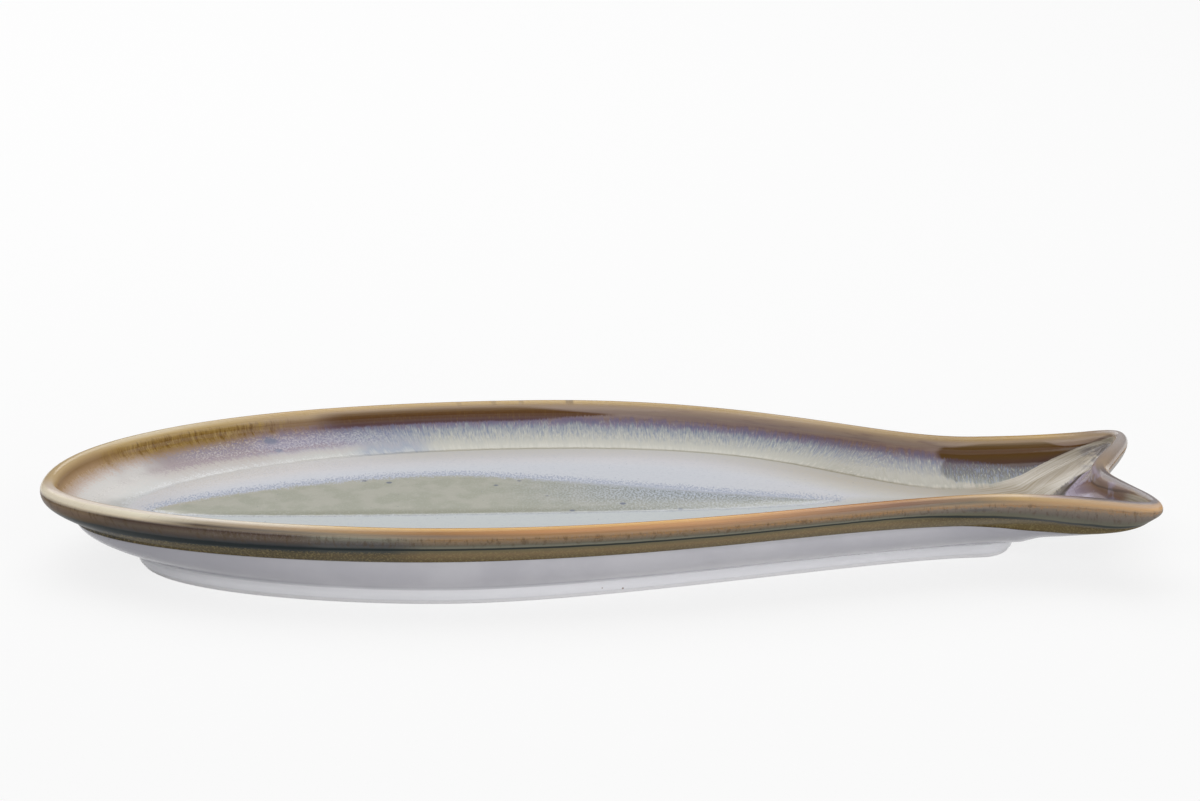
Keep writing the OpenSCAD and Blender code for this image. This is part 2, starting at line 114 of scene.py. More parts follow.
back = {"up": 1, "nose_handle": 39 * mm, "crest": np.array([-20 * mm, half_width]),
        "to_nose": 106 * mm, "to_tail": 80 * mm, "wrist_y": 19.6 * mm,
        "corner": np.array([181.5, 27.5]) * mm, "angle": 13,
        "floor_handle": 88 * mm, "floor_turn": 14 * mm,
        "under_x": -20 * mm, "under_rise": 32.8 * mm,
        "under_to_nose": 89 * mm, "under_to_tail": 80 * mm}
belly = {"up": -1, "nose_handle": 27 * mm, "crest": np.array([-38 * mm, -half_width]),
         "to_nose": 62 * mm, "to_tail": 78 * mm, "wrist_y": -39.6 * mm,
         "corner": np.array([181.8, -53]) * mm, "angle": -18,
         "floor_handle": 65.5 * mm, "floor_turn": 5.6 * mm,
         "under_x": -45 * mm, "under_rise": 27 * mm,
         "under_to_nose": 40 * mm, "under_to_tail": 50 * mm}
wrist_mid = (back["wrist_y"] + belly["wrist_y"]) / 2
print("half length", half_length, "half width", half_width, "height", rim_height)

# %% [markdown]
# ## Curves with matching stations
# A dish like this could be sculpted from a plane, or lofted through sections. It
# is lofted here, but along its rim: every ring of the dish, from the lip to the
# middle of the floor, is a closed loop with the same number of stations, and a
# station on one ring always lies straight below its fellow on the ring before.
# Then each new ring is one extrusion, and the glaze can later run down the wall
# from station to station, as it does in the kiln.

# %% Curve helpers
body_steps = 48
wrist_steps = 12
lobe_steps = 16
tip_steps = 32
fin_steps = 8
notch_steps = 8


def bezier(a, b, c, d, steps):
    """Points along a cubic curve. Its last point is left to the next piece."""
    t = np.arange(steps)[:, None] / steps
    return (1 - t) ** 3 * a + 3 * (1 - t) ** 2 * t * b + 3 * (1 - t) * t ** 2 * c + t ** 3 * d


def straight(a, b, steps):
    """Points along a straight line, without its last one."""
    t = np.arange(steps)[:, None] / steps
    return a + (b - a) * t


def rounded(a, corner, b, steps, until=1):
    """Points round a corner, from a towards b, up to a share of the way."""
    t = np.arange(steps)[:, None] / steps * until
    return (1 - t) ** 2 * a + 2 * (1 - t) * t * corner + t ** 2 * b


def unit(v):
    """A vector, or each row of vectors, with a length of 1."""
    return v / np.linalg.norm(v, axis=-1, keepdims=True)


def ray(degrees):
    """The direction at an angle from the length of the fish."""
    return np.array([math.cos(math.radians(degrees)), math.sin(math.radians(degrees))])


def whole(one, two):
    """A closed loop: the back side forwards, then the belly side in reverse."""
    return np.vstack([one, two[-2:0:-1]])


along_x = np.array([1, 0])
along_y = np.array([0, 1])


# %% Outline
def body_side(start, rise, crest, to_nose, to_tail, wrist, arm):
    """The body of a curve, on one side: from the nose to the crest, and on to the wrist."""
    return [bezier(start, start + along_y * rise, crest - along_x * to_nose, crest, body_steps),
            bezier(crest, crest + along_x * to_tail, wrist - arm, wrist, body_steps)]


def outline_side(side, other):
    """One side of the lip, from the nose to the middle of the tail notch."""
    crest, corner, turn = side["crest"], side["corner"], ray(side["angle"])
    wrist = np.array([wrist_x, side["wrist_y"]])
    enter = corner - tip_round * turn
    leave = corner + tip_round * unit(notch - corner)
    fin = notch + notch_round * unit(corner - notch)
    other_fin = notch + notch_round * unit(other["corner"] - notch)
    middle = (fin + 2 * notch + other_fin) / 4
    return np.vstack([
        *body_side(nose, side["up"] * side["nose_handle"], crest, side["to_nose"], side["to_tail"],
                   wrist, along_x * wrist_handle_body),
        bezier(wrist, wrist + along_x * wrist_handle_tail,
               enter - tip_handle * turn, enter, wrist_steps + lobe_steps),
        rounded(enter, corner, leave, tip_steps),
        straight(leave, fin, fin_steps),
        rounded(fin, notch, other_fin, notch_steps, 0.5), middle])


edge = whole(outline_side(back, belly), outline_side(belly, back))
count = len(edge)
last = count // 2
fork = 2 * body_steps + wrist_steps
branch = (last - fork) // 2
print(count, "stations round the lip; the tail forks at station", fork)

# %% [markdown]
# ## The floor and the underside
# Two more curves with the same stations say where the wall meets the floor and
# where the underside meets the foot. Both run along the body, narrow at the wrist
# and fork there: the floor sends a valley out into each tail lobe, and the
# underside has a keel under each lobe. They could be offsets of the lip, but an
# offset crosses itself in the narrow tail, so they are drawn by themselves.

# %% Floor curve and underside curve
inner_share = 0.84
nose_share = 0.6
floor_nose = np.array([-149 * mm, nose[1]])
floor_wrist = np.array([112 * mm, wrist_mid])
floor_half = 43 * mm
floor_wrist_handle = 40 * mm
floor_wrist_half = 8 * mm
floor_fork_x = 137 * mm
notch_root = np.array([142 * mm, notch[1]])

under_nose = np.array([-147 * mm, nose[1]])
under_half = 54.6 * mm
under_wrist = np.array([135.6 * mm, wrist_mid])
under_wrist_half = 12.6 * mm
keel_half = 11 * mm
under_fork_x = 141 * mm
keel_root = np.array([144 * mm, notch[1]])
floor_passes = 6
under_passes = 4


def valley_end(side):
    """The end of a valley, on the line that halves the corner of a tail tip."""
    inward = unit(notch - side["corner"]) - ray(side["angle"])
    return side["corner"] + valley_end_gap * unit(inward)


def inner_side(body, wrist, fork_at, end, root):
    """One side of the floor or underside curve, from the nose to the root between the lobes."""
    return np.vstack([*body, straight(wrist, fork_at, wrist_steps), straight(fork_at, end, branch),
                      straight(end, root, branch), root])


def floor_side(side):
    """The line where the wall meets the floor, on one side."""
    up, fork_y = side["up"], wrist_mid if side is back else notch[1]
    wrist = floor_wrist + along_y * up * floor_wrist_half
    body = body_side(floor_nose, up * side["nose_handle"] * nose_share,
                     np.array([side["crest"][0], up * floor_half]),
                     side["to_nose"] * inner_share, side["floor_handle"], wrist,
                     np.array([floor_wrist_handle, -up * side["floor_turn"]]))
    fork_at = np.array([floor_fork_x, fork_y + up * floor_wrist_half])
    return inner_side(body, wrist, fork_at, valley_end(side), notch_root)


def under_side(side):
    """The line where the underside meets the foot and the keels, on one side."""
    up = side["up"]
    wrist = under_wrist + along_y * up * under_wrist_half
    body = body_side(under_nose, up * side["under_rise"], np.array([side["under_x"], up * under_half]),
                     side["under_to_nose"], side["under_to_tail"], wrist, along_x * wrist_handle_body)
    fork_at = np.array([under_fork_x, wrist_mid + up * keel_half])
    return inner_side(body, wrist, fork_at, valley_end(side), keel_root)


def eased(curve, passes):
    """The curve with its corners eased: each point moves towards its neighbours' middle."""
    for _ in range(passes):
        curve = (np.roll(curve, 1, 0) + 2 * curve + np.roll(curve, -1, 0)) / 4
    return curve


floor_curve = eased(whole(floor_side(back), floor_side(belly)), floor_passes)
under_curve = eased(whole(under_side(back), under_side(belly)), under_passes)
print("floor width", np.ptp(floor_curve[:, 1]), "underside width", np.ptp(under_curve[:, 1]))

# %% [markdown]
# ## How far out in the tail a station is
# The platter gets shallower out along the lobes: the floor, the band's lower edge
# and the keels all rise. They could be pulled up by hand in the finished mesh, but
# then they might not stay in step. Here the station's share of the way from the
# fork to the tip says by how much each of them rises.

# %% Heights
valley_bow = 0.55
rise_power = 3
keel_power = 1.35
stations = np.arange(count)
side_station = np.where(stations > last, count - stations, stations)
out = np.clip(np.where(side_station <= fork + branch, side_station - fork,
                       last - side_station) / branch, 0, 1)
rise = out * (1 - valley_bow + valley_bow * out)
floor_z = floor_height + (valley_end_height - floor_height) * rise
band_z = band_height + band_rise * out ** rise_power
keel_run = min(valley_end(back)[0], valley_end(belly)[0]) - under_wrist[0]
keel = np.clip((under_curve[:, 0] - under_wrist[0]) / keel_run, 0, 1) ** keel_power
under_z = foot_height + (keel_end_height - foot_height) * keel
for name, z in (("floor", floor_z), ("band's end", band_z), ("underside", under_z)):
    print(name, "from", (1000 * z.min()).round(2), "to", (1000 * z.max()).round(2), "mm above the table")

# %% Directions from the lip
least_square = 0.72
aim_passes = 3
tangent = unit(np.roll(edge, -1, 0) - np.roll(edge, 1, 0))
inward = np.stack([tangent[:, 1], -tangent[:, 0]], 1)


def aim(curve):
    """From the lip towards a curve, so scaled that a step of 1 goes 1 inwards."""
    towards = unit(curve - edge)
    square = np.maximum(least_square, (towards * inward).sum(1, keepdims=True))
    return eased(towards / square, aim_passes)


aim_in = aim(floor_curve)
aim_out = aim(under_curve)
lip_z = rim_height - lip_radius
print("lip centre at z", lip_z)

# %% [markdown]
# ## Rings of the profile
# The section of the wall is a few arcs: half a circle over the lip, an arc that
# starts upright and flattens towards the floor inside, and outside a leaning band
# and an arc that runs in under the dish. A round dish would be one spin of that
# section. This one has a fish's outline, so each ring below is one place on the
# section, taken all the way round. Outside, a cut moves a ring in by the depth of
# the glaze that lies over it. A small wobble of three waves moves the lip and the
# outside as well, because hands and not a machine wiped this lip. Under the lip at
# the nose the lean starts later, so the profile is fuller there.

# %% Rings
crease_angle = 72
under_angle = 48
lip_rings = 8
wall_rings = 20
body_lean_power = 1.8
nose_lean_power = 2.5
nose_zone_start = -150 * mm
nose_zone_length = 26 * mm
at_nose = np.clip((nose_zone_start - edge[:, 0]) / nose_zone_length, 0, 1)[:, None]
lean_power = body_lean_power + (nose_lean_power - body_lean_power) * at_nose

waves = ((3, 1, 1.0), (7, 0, 1.0), (16, 2, 0.6))
way_round = 2 * math.pi * stations / count
waver = sum(strength * np.sin(number * way_round + start) for number, start, strength in waves)
hand = wobble * (1 + waver / sum(wave[2] for wave in waves))[:, None]
print("the wobble is", (1000 * hand.min()).round(3), "to", (1000 * hand.max()).round(3), "mm")


def at_height(points, z):
    """Points in plan, each at its own height."""
    return np.column_stack([points, np.broadcast_to(np.ravel(z), len(points))])


def lip_ring(angle):
    """A ring on the lip. 0 is its outer side, 90 its crest and 180 its inner side."""
    r = lip_radius - hand
    mix = min(angle / 180, 0.5)
    drawn = (lip_radius - r * math.cos(math.radians(angle))) * (aim_out * (1 - mix) + aim_in * mix)
    return at_height(edge + drawn, lip_z + r * math.sin(math.radians(angle)))


def arc_shares(share, angle):
    """How far across and how far down an arc that starts upright is, at a share of its turn."""
    turn = np.radians(angle * share)
    full = math.radians(angle)
    return (1 - np.cos(turn)) / (1 - math.cos(full)), np.sin(turn) / math.sin(full)


def wall_ring(share):
    """A ring on the wall of the well, from the lip (0) to the floor (1)."""
    across, down = arc_shares(share, crease_angle)
    top = lip_ring(180)[:, :2]
    return at_height(top + (floor_curve - top) * across, lip_z + (floor_z - lip_z) * down)


def outside_ring(share, cut=0.0):
    """A ring outside, from the lip (0) over the end of the lean (1) to the foot (2)."""
    share = np.broadcast_to(share, count)[:, None]
    cut = cut + hand * (1 - share / 2)
    lean = np.minimum(share, 1)
    plan = edge + cut * aim_out + (under_curve - edge) * band_lean * lean ** lean_power
    z = lip_z + (band_z[:, None] - lip_z) * lean
    across, down = arc_shares(np.maximum(share - 1, 0), under_angle)
    return at_height(plan + (under_curve - plan) * across,
                     z + (under_z[:, None] - glaze + cut - z) * down)


def spine(points):
    """The line down the middle that the two sides of a ring close on, with its fork in the tail."""
    middle = points.copy()
    for i in range(fork + 1):
        middle[i] = middle[-i] = (points[i] + points[-i]) / 2
    for j in range(1, branch):
        for one, two in ((fork + j, last - j), (count - fork - j, last + j)):
            middle[one] = middle[two] = (points[one] + points[two]) / 2
    for station in (fork, count - fork, last):
        middle[station] = (points[fork] + points[count - fork] + points[last]) / 3
    return middle


for name, ring in (("lip", lip_ring(90)), ("wall", wall_ring(0.5)), ("band", outside_ring(1)),
                   ("foot of the underside", outside_ring(2))):
    print(name, "ring from", (1000 * ring.min(0)).round(1), "to", (1000 * ring.max(0)).round(1), "mm")

# %% [markdown]
# ## Where the band ends
# The coloured band isn't wiped off at one height. Its lower edge dips at the nose
# and on the tail and is highest in front of the wrist, and a thin dark line, where
# the glaze pooled against the one below, follows it with a swing of its own. The
# band could be painted on one skin with the white glaze, but its edge stands proud
# and catches the light, so it is a coat of its own. Both swings are given at a few
# places along the fish.

# %% The band's edge and its dark line
swing_passes = 40


def swing(places, shares):
    """A share of the outside that is given at a few places, in mm along the fish."""
    return eased(np.interp(edge[:, 0] / mm, places, shares)[:, None], swing_passes)[:, 0]


cut_share = swing([-165, -140, -90, -24, 40, 72, 104, 130, 160],
                  [1.1, 1.05, 1.0, 0.92, 0.85, 0.77, 0.9, 1.2, 1.42])
line_share = swing([-165, -120, -58, 11, 82, 104, 130, 160],
                   [0.68, 0.6, 0.4, 0.38, 0.28, 0.3, 0.5, 0.85])


def band_share(note):
    """The share of the outside at a note of the band: 0 is the lip, 1 the dark line and 2 the edge."""
    return line_share * min(note, 1) + (cut_share - line_share) * max(note - 1, 0)


print("the band ends at shares", cut_share.min().round(2), "to", cut_share.max().round(2))

# %% [markdown]
# ## The pool
# Where glaze is thick it runs together while it melts. On this platter it left a
# long lens on the floor. Its shore is drawn here, because the colours of the floor
# change across it: every vertex keeps its distance to the shore as a note.

# %% The pool's shore
pool_steps = 40
pool_nose = np.array([-141, -10]) * mm
pool_tail = np.array([78, -11]) * mm
pool_far = np.array([-45, 18.3]) * mm
pool_near = np.array([-38, -18.0]) * mm


def pool_side(middle, nose_handle, nose_reach, tail_reach, tail_handle):
    """One shore of the pool, from the nose to the tail, with its handles in millimetres."""
    return np.vstack([
        bezier(pool_nose, pool_nose + np.array(nose_handle) * mm,
               middle - along_x * nose_reach * mm, middle, pool_steps),
        bezier(middle, middle + along_x * tail_reach * mm,
               pool_tail + np.array(tail_handle) * mm, pool_tail, pool_steps), pool_tail])


pool_loop = whole(
    pool_side(pool_far, nose_handle=(3, 8), nose_reach=40, tail_reach=15, tail_handle=(-38, 9)),
    pool_side(pool_near, nose_handle=(3, -7), nose_reach=58, tail_reach=58, tail_handle=(-22, -7)))


def shore_distance(x, y):
    """The distance to the shore in millimetres, and below 0 outside the pool."""
    here = np.array([x, y])
    start, end = pool_loop, np.roll(pool_loop, -1, 0)
    way = end - start
    share = np.clip(((here - start) * way).sum(1) / (way ** 2).sum(1), 0, 1)
    nearest = np.linalg.norm(here - start - way * share[:, None], axis=1).min()
    above = (start[:, 1] > y) != (end[:, 1] > y)
    cross = start[:, 0] + way[:, 0] * (y - start[:, 1]) / np.where(way[:, 1] == 0, 1, way[:, 1])
    inside_pool = np.count_nonzero(above & (x < cross)) % 2
    return (nearest if inside_pool else -nearest) / mm


print("shore distance in the middle of the pool", round(shore_distance(pool_near[0], 0), 1), "mm")

# %% [markdown]
# ## From rings to a coat
# A coat could be bridged from separate loops. Here it starts as one loop of
# vertices and edges and is extruded ring by ring, because a vertex that comes from
# an extrusion takes along the notes of the one before it. After each extrusion the
# new vertices are set on the next ring. Every vertex keeps notes that its glaze is
# painted by: the point of the lip that it lies below, its distance to the pool's
# shore, and its depth. The depth is 0 on the crest of the lip, 1 at the foot of the
# wall and more on the floor. Outside it falls from -0.2 at the lip to -1.2 on the
# dark line and -2.2 on the band's edge, and below that it is -3 and less. When the
# rings are done the surface is given its thickness, so that each coat is a closed
# skin with two sides and an edge. The weld is kept tiny: at the tail tips the
# points of the spine lie so close together that a wider one would join neighbours
# and leave the skin open.

# %% Building a coat
wall_length = 21 * mm
weld = 0.001 * mm


def new_loop(bm, ring, depth):
    """The first ring of a coat: its vertices, and the edges that join them."""
    station = bm.verts.layers.int.new("station")
    lip_point = bm.verts.layers.float_vector.new("lip_point")
    depth_note = bm.verts.layers.float.new("depth")
    verts = [bm.verts.new(p) for p in ring]
    for i, v in enumerate(verts):
        v[station] = i
        v[lip_point] = Vector((*edge[i % count], 0))
        v[depth_note] = depth
    return [bm.edges.new((v, verts[(i + 1) % len(verts)])) for i, v in enumerate(verts)]


def next_ring(bm, edges, ring, depth):
    """Extrudes the last ring and sets the new one where it belongs."""
    station = bm.verts.layers.int["station"]
    depth_note = bm.verts.layers.float["depth"]
    made = bmesh.ops.extrude_edge_only(bm, edges=edges)["geom"]
    for v in made:
        if isinstance(v, bmesh.types.BMVert):
            v.co = ring[v[station]]
            v[depth_note] = depth if np.isscalar(depth) else depth[v[station]]
    return [e for e in made if isinstance(e, bmesh.types.BMEdge)]


def finish_piece(bm, name, slot, thickness, away_from):
    """Welds the mesh, points its faces, gives it thickness and makes it a piece of the object."""
    bmesh.ops.remove_doubles(bm, verts=bm.verts, dist=weld)
    bmesh.ops.recalc_face_normals(bm, faces=bm.faces)
    bm.normal_update()
    if thickness:
        centre = Vector(away_from)
        turned = sum(f.normal.dot(f.calc_center_median() - centre) * f.calc_area() for f in bm.faces)
        if turned < 0:
            bmesh.ops.reverse_faces(bm, faces=bm.faces)
        bmesh.ops.solidify(bm, geom=bm.faces[:], thickness=thickness)
        bmesh.ops.recalc_face_normals(bm, faces=bm.faces)
    shore = bm.verts.layers.float.new("shore")
    for v in bm.verts:
        v.co = [min(max(c, low), high) for c, low, high in zip(v.co, cad_low, cad_high)]
        v[shore] = shore_distance(v.co.x, v.co.y)
    mesh = bpy.data.meshes.new(name)
    bm.to_mesh(mesh)
    open_edges = sum(not e.is_manifold for e in bm.edges)
    bm.free()
    mesh.polygons.foreach_set("use_smooth", [True] * len(mesh.polygons))
    piece = bpy.data.objects.new(name, mesh)
    bpy.context.scene.collection.objects.link(piece)
    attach(piece, "root")
    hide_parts(slot)
    mesh.calc_loop_triangles()
    print(name, len(mesh.loop_triangles), "triangles,", open_edges, "open edges")


def coat(name, rings, slot, thickness=0.0, away_from=(0, 0, 0)):
    """A coat of glaze over a list of (ring, depth). Its faces point away from a place."""
    bm = bmesh.new()
    edges = new_loop(bm, *rings[0])
    for ring, depth in rings[1:]:
        edges = next_ring(bm, edges, ring, depth)
    finish_piece(bm, name, slot, thickness, away_from)


# %% [markdown]
# ## The glaze inside
# The inside coat runs from the outermost line of the lip over its crest, down the
# wall and across the floor. The floor could be filled with one face, but then its
# glaze would have no notes between the wall and the middle. So the rings go on and
# close on the spine, where the two sides are welded like the two halves of a zip.

# %% Inside glaze
lip_share = 0.2
floor_rings = 14
floor_power = 1.4
below = (0, 0, -1)
above = (0, 0, 1)
heart = (0, wrist_mid, rim_height)


def inside_rings():
    """The rings of the inside coat with their depths, from the outer side of the lip."""
    rings = []
    for k in range(2 * lip_rings + 1):
        angle = 90 * k / lip_rings
        rings.append((lip_ring(angle), lip_share * (angle - 90) / 90))
    for k in range(1, wall_rings + 1):
        rings.append((wall_ring(k / wall_rings), lip_share + (1 - lip_share) * k / wall_rings))
    crease = rings[-1][0]
    middle = spine(crease)
    reach = np.linalg.norm(middle - crease, axis=1) / wall_length
    for k in range(1, floor_rings + 1):
        share = (k / floor_rings) ** floor_power
        rings.append((crease + (middle - crease) * share, 1 + reach * share))
    return rings


coat("inside_glaze_coat", inside_rings(), "inside_glaze", glaze, below)

# %% [markdown]
# ## The pool on the floor
# The pool could be a change of colour alone, but thick glaze also stands a little
# higher and catches the light. So it is a flat lens. It starts below the glaze of
# the floor, comes up through it at the shore and is thickest along its middle, so
# it has no step at its rim.

# %% Pool
pool_glaze = 0.28 * mm
pool_root = -0.3 * mm
pool_brim = -0.04 * mm
pool_depth = 2.0
pool_rings = 12


def pool_rings_list():
    """The rings of the pool with their depths, from its underside round the shore to its middle."""
    middle = (pool_loop + np.roll(pool_loop[::-1], 1, 0)) / 2
    shares = [1, 0] + [(k / pool_rings) ** floor_power for k in range(1, pool_rings + 1)]
    heights = [pool_root, pool_brim] + [pool_glaze * (1 - (1 - s) ** 2) for s in shares[2:]]
    return [(at_height(pool_loop + (middle - pool_loop) * s, floor_height + z), pool_depth)
            for s, z in zip(shares, heights)]


coat("well_pool_lens", pool_rings_list(), "well_pool")

# %% [markdown]
# ## The band outside
# The same glaze runs a little way down the outside and ends in a sharp edge, where
# the potter wiped it off. A bevel could round that edge. Here the last four rings
# turn in under it instead, and so they keep the notes that its colour follows.

# %% Outside band
band_notes = [0.15 * k for k in range(7)] + [1 + 0.1 * k for k in range(10)]
edge_turn = [(1.97, 0.03), (2.0, 0.1), (2.01, 0.2), (2.0, 0.32)]


def band_rings_list():
    """The rings of the band with their depths, from the lip down and in under its edge."""
    rings = [(outside_ring(band_share(note)), -lip_share - note) for note in band_notes]
    return rings + [(outside_ring(band_share(note), cut * mm), -lip_share - note)
                    for note, cut in edge_turn]


coat("rim_band_glaze_coat", band_rings_list(), "rim_band_glaze", glaze / 2, heart)

# %% [markdown]
# ## The underside
# Below the band the dish has a white glaze that runs in to the foot and out under
# both lobes of the tail. Glaze fills an inner corner, so round the foot it turns
# down in a small cove. A bump in the material could hint at the cove, but it shows
# from the side, so a few rings follow its curve. Beyond the foot the glaze closes
# on the spine of the keels.

# %% The outline of the foot
foot_stations = 2 * body_steps
nose_inset_share = 1.25
round_end_steps = 17


def way_shares(points):
    """How far along a curve each of its points is, from 0 to 1."""
    way = np.concatenate([[0], np.cumsum(np.linalg.norm(np.diff(points, axis=0), axis=1))])
    return way / way[-1]


def foot_side(side, inset):
    """One side of the foot, drawn in by an inset, up to the middle of its round end."""
    up = side["up"]
    half, neck = under_half - foot_ledge - inset, under_wrist_half - foot_ledge - inset
    start = under_nose + along_x * (foot_ledge + inset) * nose_inset_share
    crest = np.array([side["under_x"], up * half])
    end = np.array([foot_tail_x - inset - neck, wrist_mid])
    beside = end + along_y * up * neck
    turn = np.radians(np.linspace(0, 90, round_end_steps))[:, None]
    curve = np.vstack([
        *body_side(start, up * (side["under_rise"] - inset / 2), crest, side["under_to_nose"],
                   side["under_to_tail"], beside, along_x * wrist_handle_body),
        end + neck * (along_x * np.sin(turn) + along_y * up * np.cos(turn))])
    wanted = way_shares(under_side(side)[:foot_stations + 1])
    return np.column_stack([np.interp(wanted, way_shares(curve), curve[:, i]) for i in (0, 1)])


def foot_loop(inset):
    """The outline of the foot with its points at the stations of the underside."""
    return whole(foot_side(back, inset), foot_side(belly, inset))


print("foot from", foot_loop(0).min(0) / mm, "to", foot_loop(0).max(0) / mm, "mm")

# %% Underside glaze
under_rings = 18
cove_start = 1.9
cove_rings = 6
tuck = 0.1 * mm
lap = 0.01


def under_rings_list():
    """The rings of the underside with their depths, from the band in to the foot and the keels."""
    cut = glaze - clear_glaze
    first = cut_share - lap
    rings = []
    for k in range(under_rings + 1):
        share = first + (cove_start - first) * k / under_rings
        rings.append((outside_ring(share, cut), -3 - k / under_rings))
    outer = rings[-1][0]
    corner = spine(outside_ring(2, cut))
    low = corner.copy()
    beside = foot_loop(-clear_glaze)
    beneath = foot_loop(foot_draft * cove / foot_height - clear_glaze + tuck)
    for i in range(foot_stations + 1):
        for j in (i, -i):
            corner[j, :2], low[j, :2] = beside[j], beneath[j]
            low[j, 2] = foot_height - cove
    for k in range(1, cove_rings + 1):
        t = k / cove_rings
        ring = (1 - t) ** 2 * outer + 2 * (1 - t) * t * corner + t ** 2 * low
        rings.append((ring, -4 - t))
    return rings


coat("underside_glaze_coat", under_rings_list(), "underside_glaze", clear_glaze, above)

# %% [markdown]
# ## The foot
# The foot is a drafted ring with rounded lower edges. It could be an extruded face
# with a bevel, but rings that follow its section give the draft and the edges their
# exact sizes. Its glaze stops short of the table, because glaze that touched the
# kiln shelf would stick to it.

# %% Foot and its glaze
quarter_turn = [math.radians(15 * k) for k in range(7)]
top_share = 0.1
brim_share = 0.3
brim = foot_draft * (1 - bare_rim / foot_height)
foot_section = [(0, foot_height), (brim, bare_rim)]
foot_section += [(foot_draft + foot_edge * (1 - math.cos(a)), foot_edge * (1 - math.sin(a)))
                 for a in quarter_turn]
foot_section += [(foot_width - foot_edge * (1 - math.cos(a)), foot_edge * (1 - math.sin(a)))
                 for a in reversed(quarter_turn)]
foot_section += [(foot_width, bare_rim), (foot_width, foot_height), (0, foot_height)]
glaze_section = [(foot_draft * top_share - clear_glaze, foot_height - cove / 2),
                 (brim - clear_glaze, bare_rim + clear_glaze),
                 (brim - clear_glaze * (1 - brim_share), bare_rim + clear_glaze * brim_share),
                 (brim, bare_rim)]


def foot_rings(section):
    """Rings with their depths round the foot, for a section of (inset, height)."""
    return [(at_height(foot_loop(inset), z), -6 + z / wall_length) for inset, z in section]


coat("foot_ring_clay", foot_rings(foot_section), "foot_ring")
coat("foot_glaze_coat", foot_rings(glaze_section), "foot_glaze", clear_glaze / 2, heart)

# %% [markdown]
# ## Writing glaze as nodes
# The glaze could be a picture laid on the platter, but a picture can't be followed
# or changed. Here the colours are worked out at every point, from the notes that
# the vertices carry and from noise. The helpers below keep the cells short. Shade
# adds one node at a time and links what it is given. What a node gives is a Value,
# which can be added and multiplied with Python's own signs. A colour is written as
# RRGGBB.

# %% Writing nodes
def rgb(code):
    """A colour written as RRGGBB, in the linear values that Blender works with."""
    shown = [int(code[i:i + 2], 16) / 255 for i in (0, 2, 4)]
    return (*[c / 12.92 if c < 0.04045 else ((c + 0.055) / 1.055) ** 2.4 for c in shown], 1)


class Value:
    """What a node gives. Arithmetic with it adds more nodes."""

    def __init__(self, shade, socket):
        self.shade, self.socket = shade, socket

    def __add__(self, other):
        return self.shade.math("ADD", self, other)

    __radd__ = __add__

    def __sub__(self, other):
        return self.shade.math("SUBTRACT", self, other)

    def __rsub__(self, other):
        return self.shade.math("SUBTRACT", other, self)

    def __mul__(self, other):
        return self.shade.math("MULTIPLY", self, other)

    def __abs__(self):
        return self.shade.math("ABSOLUTE", self)


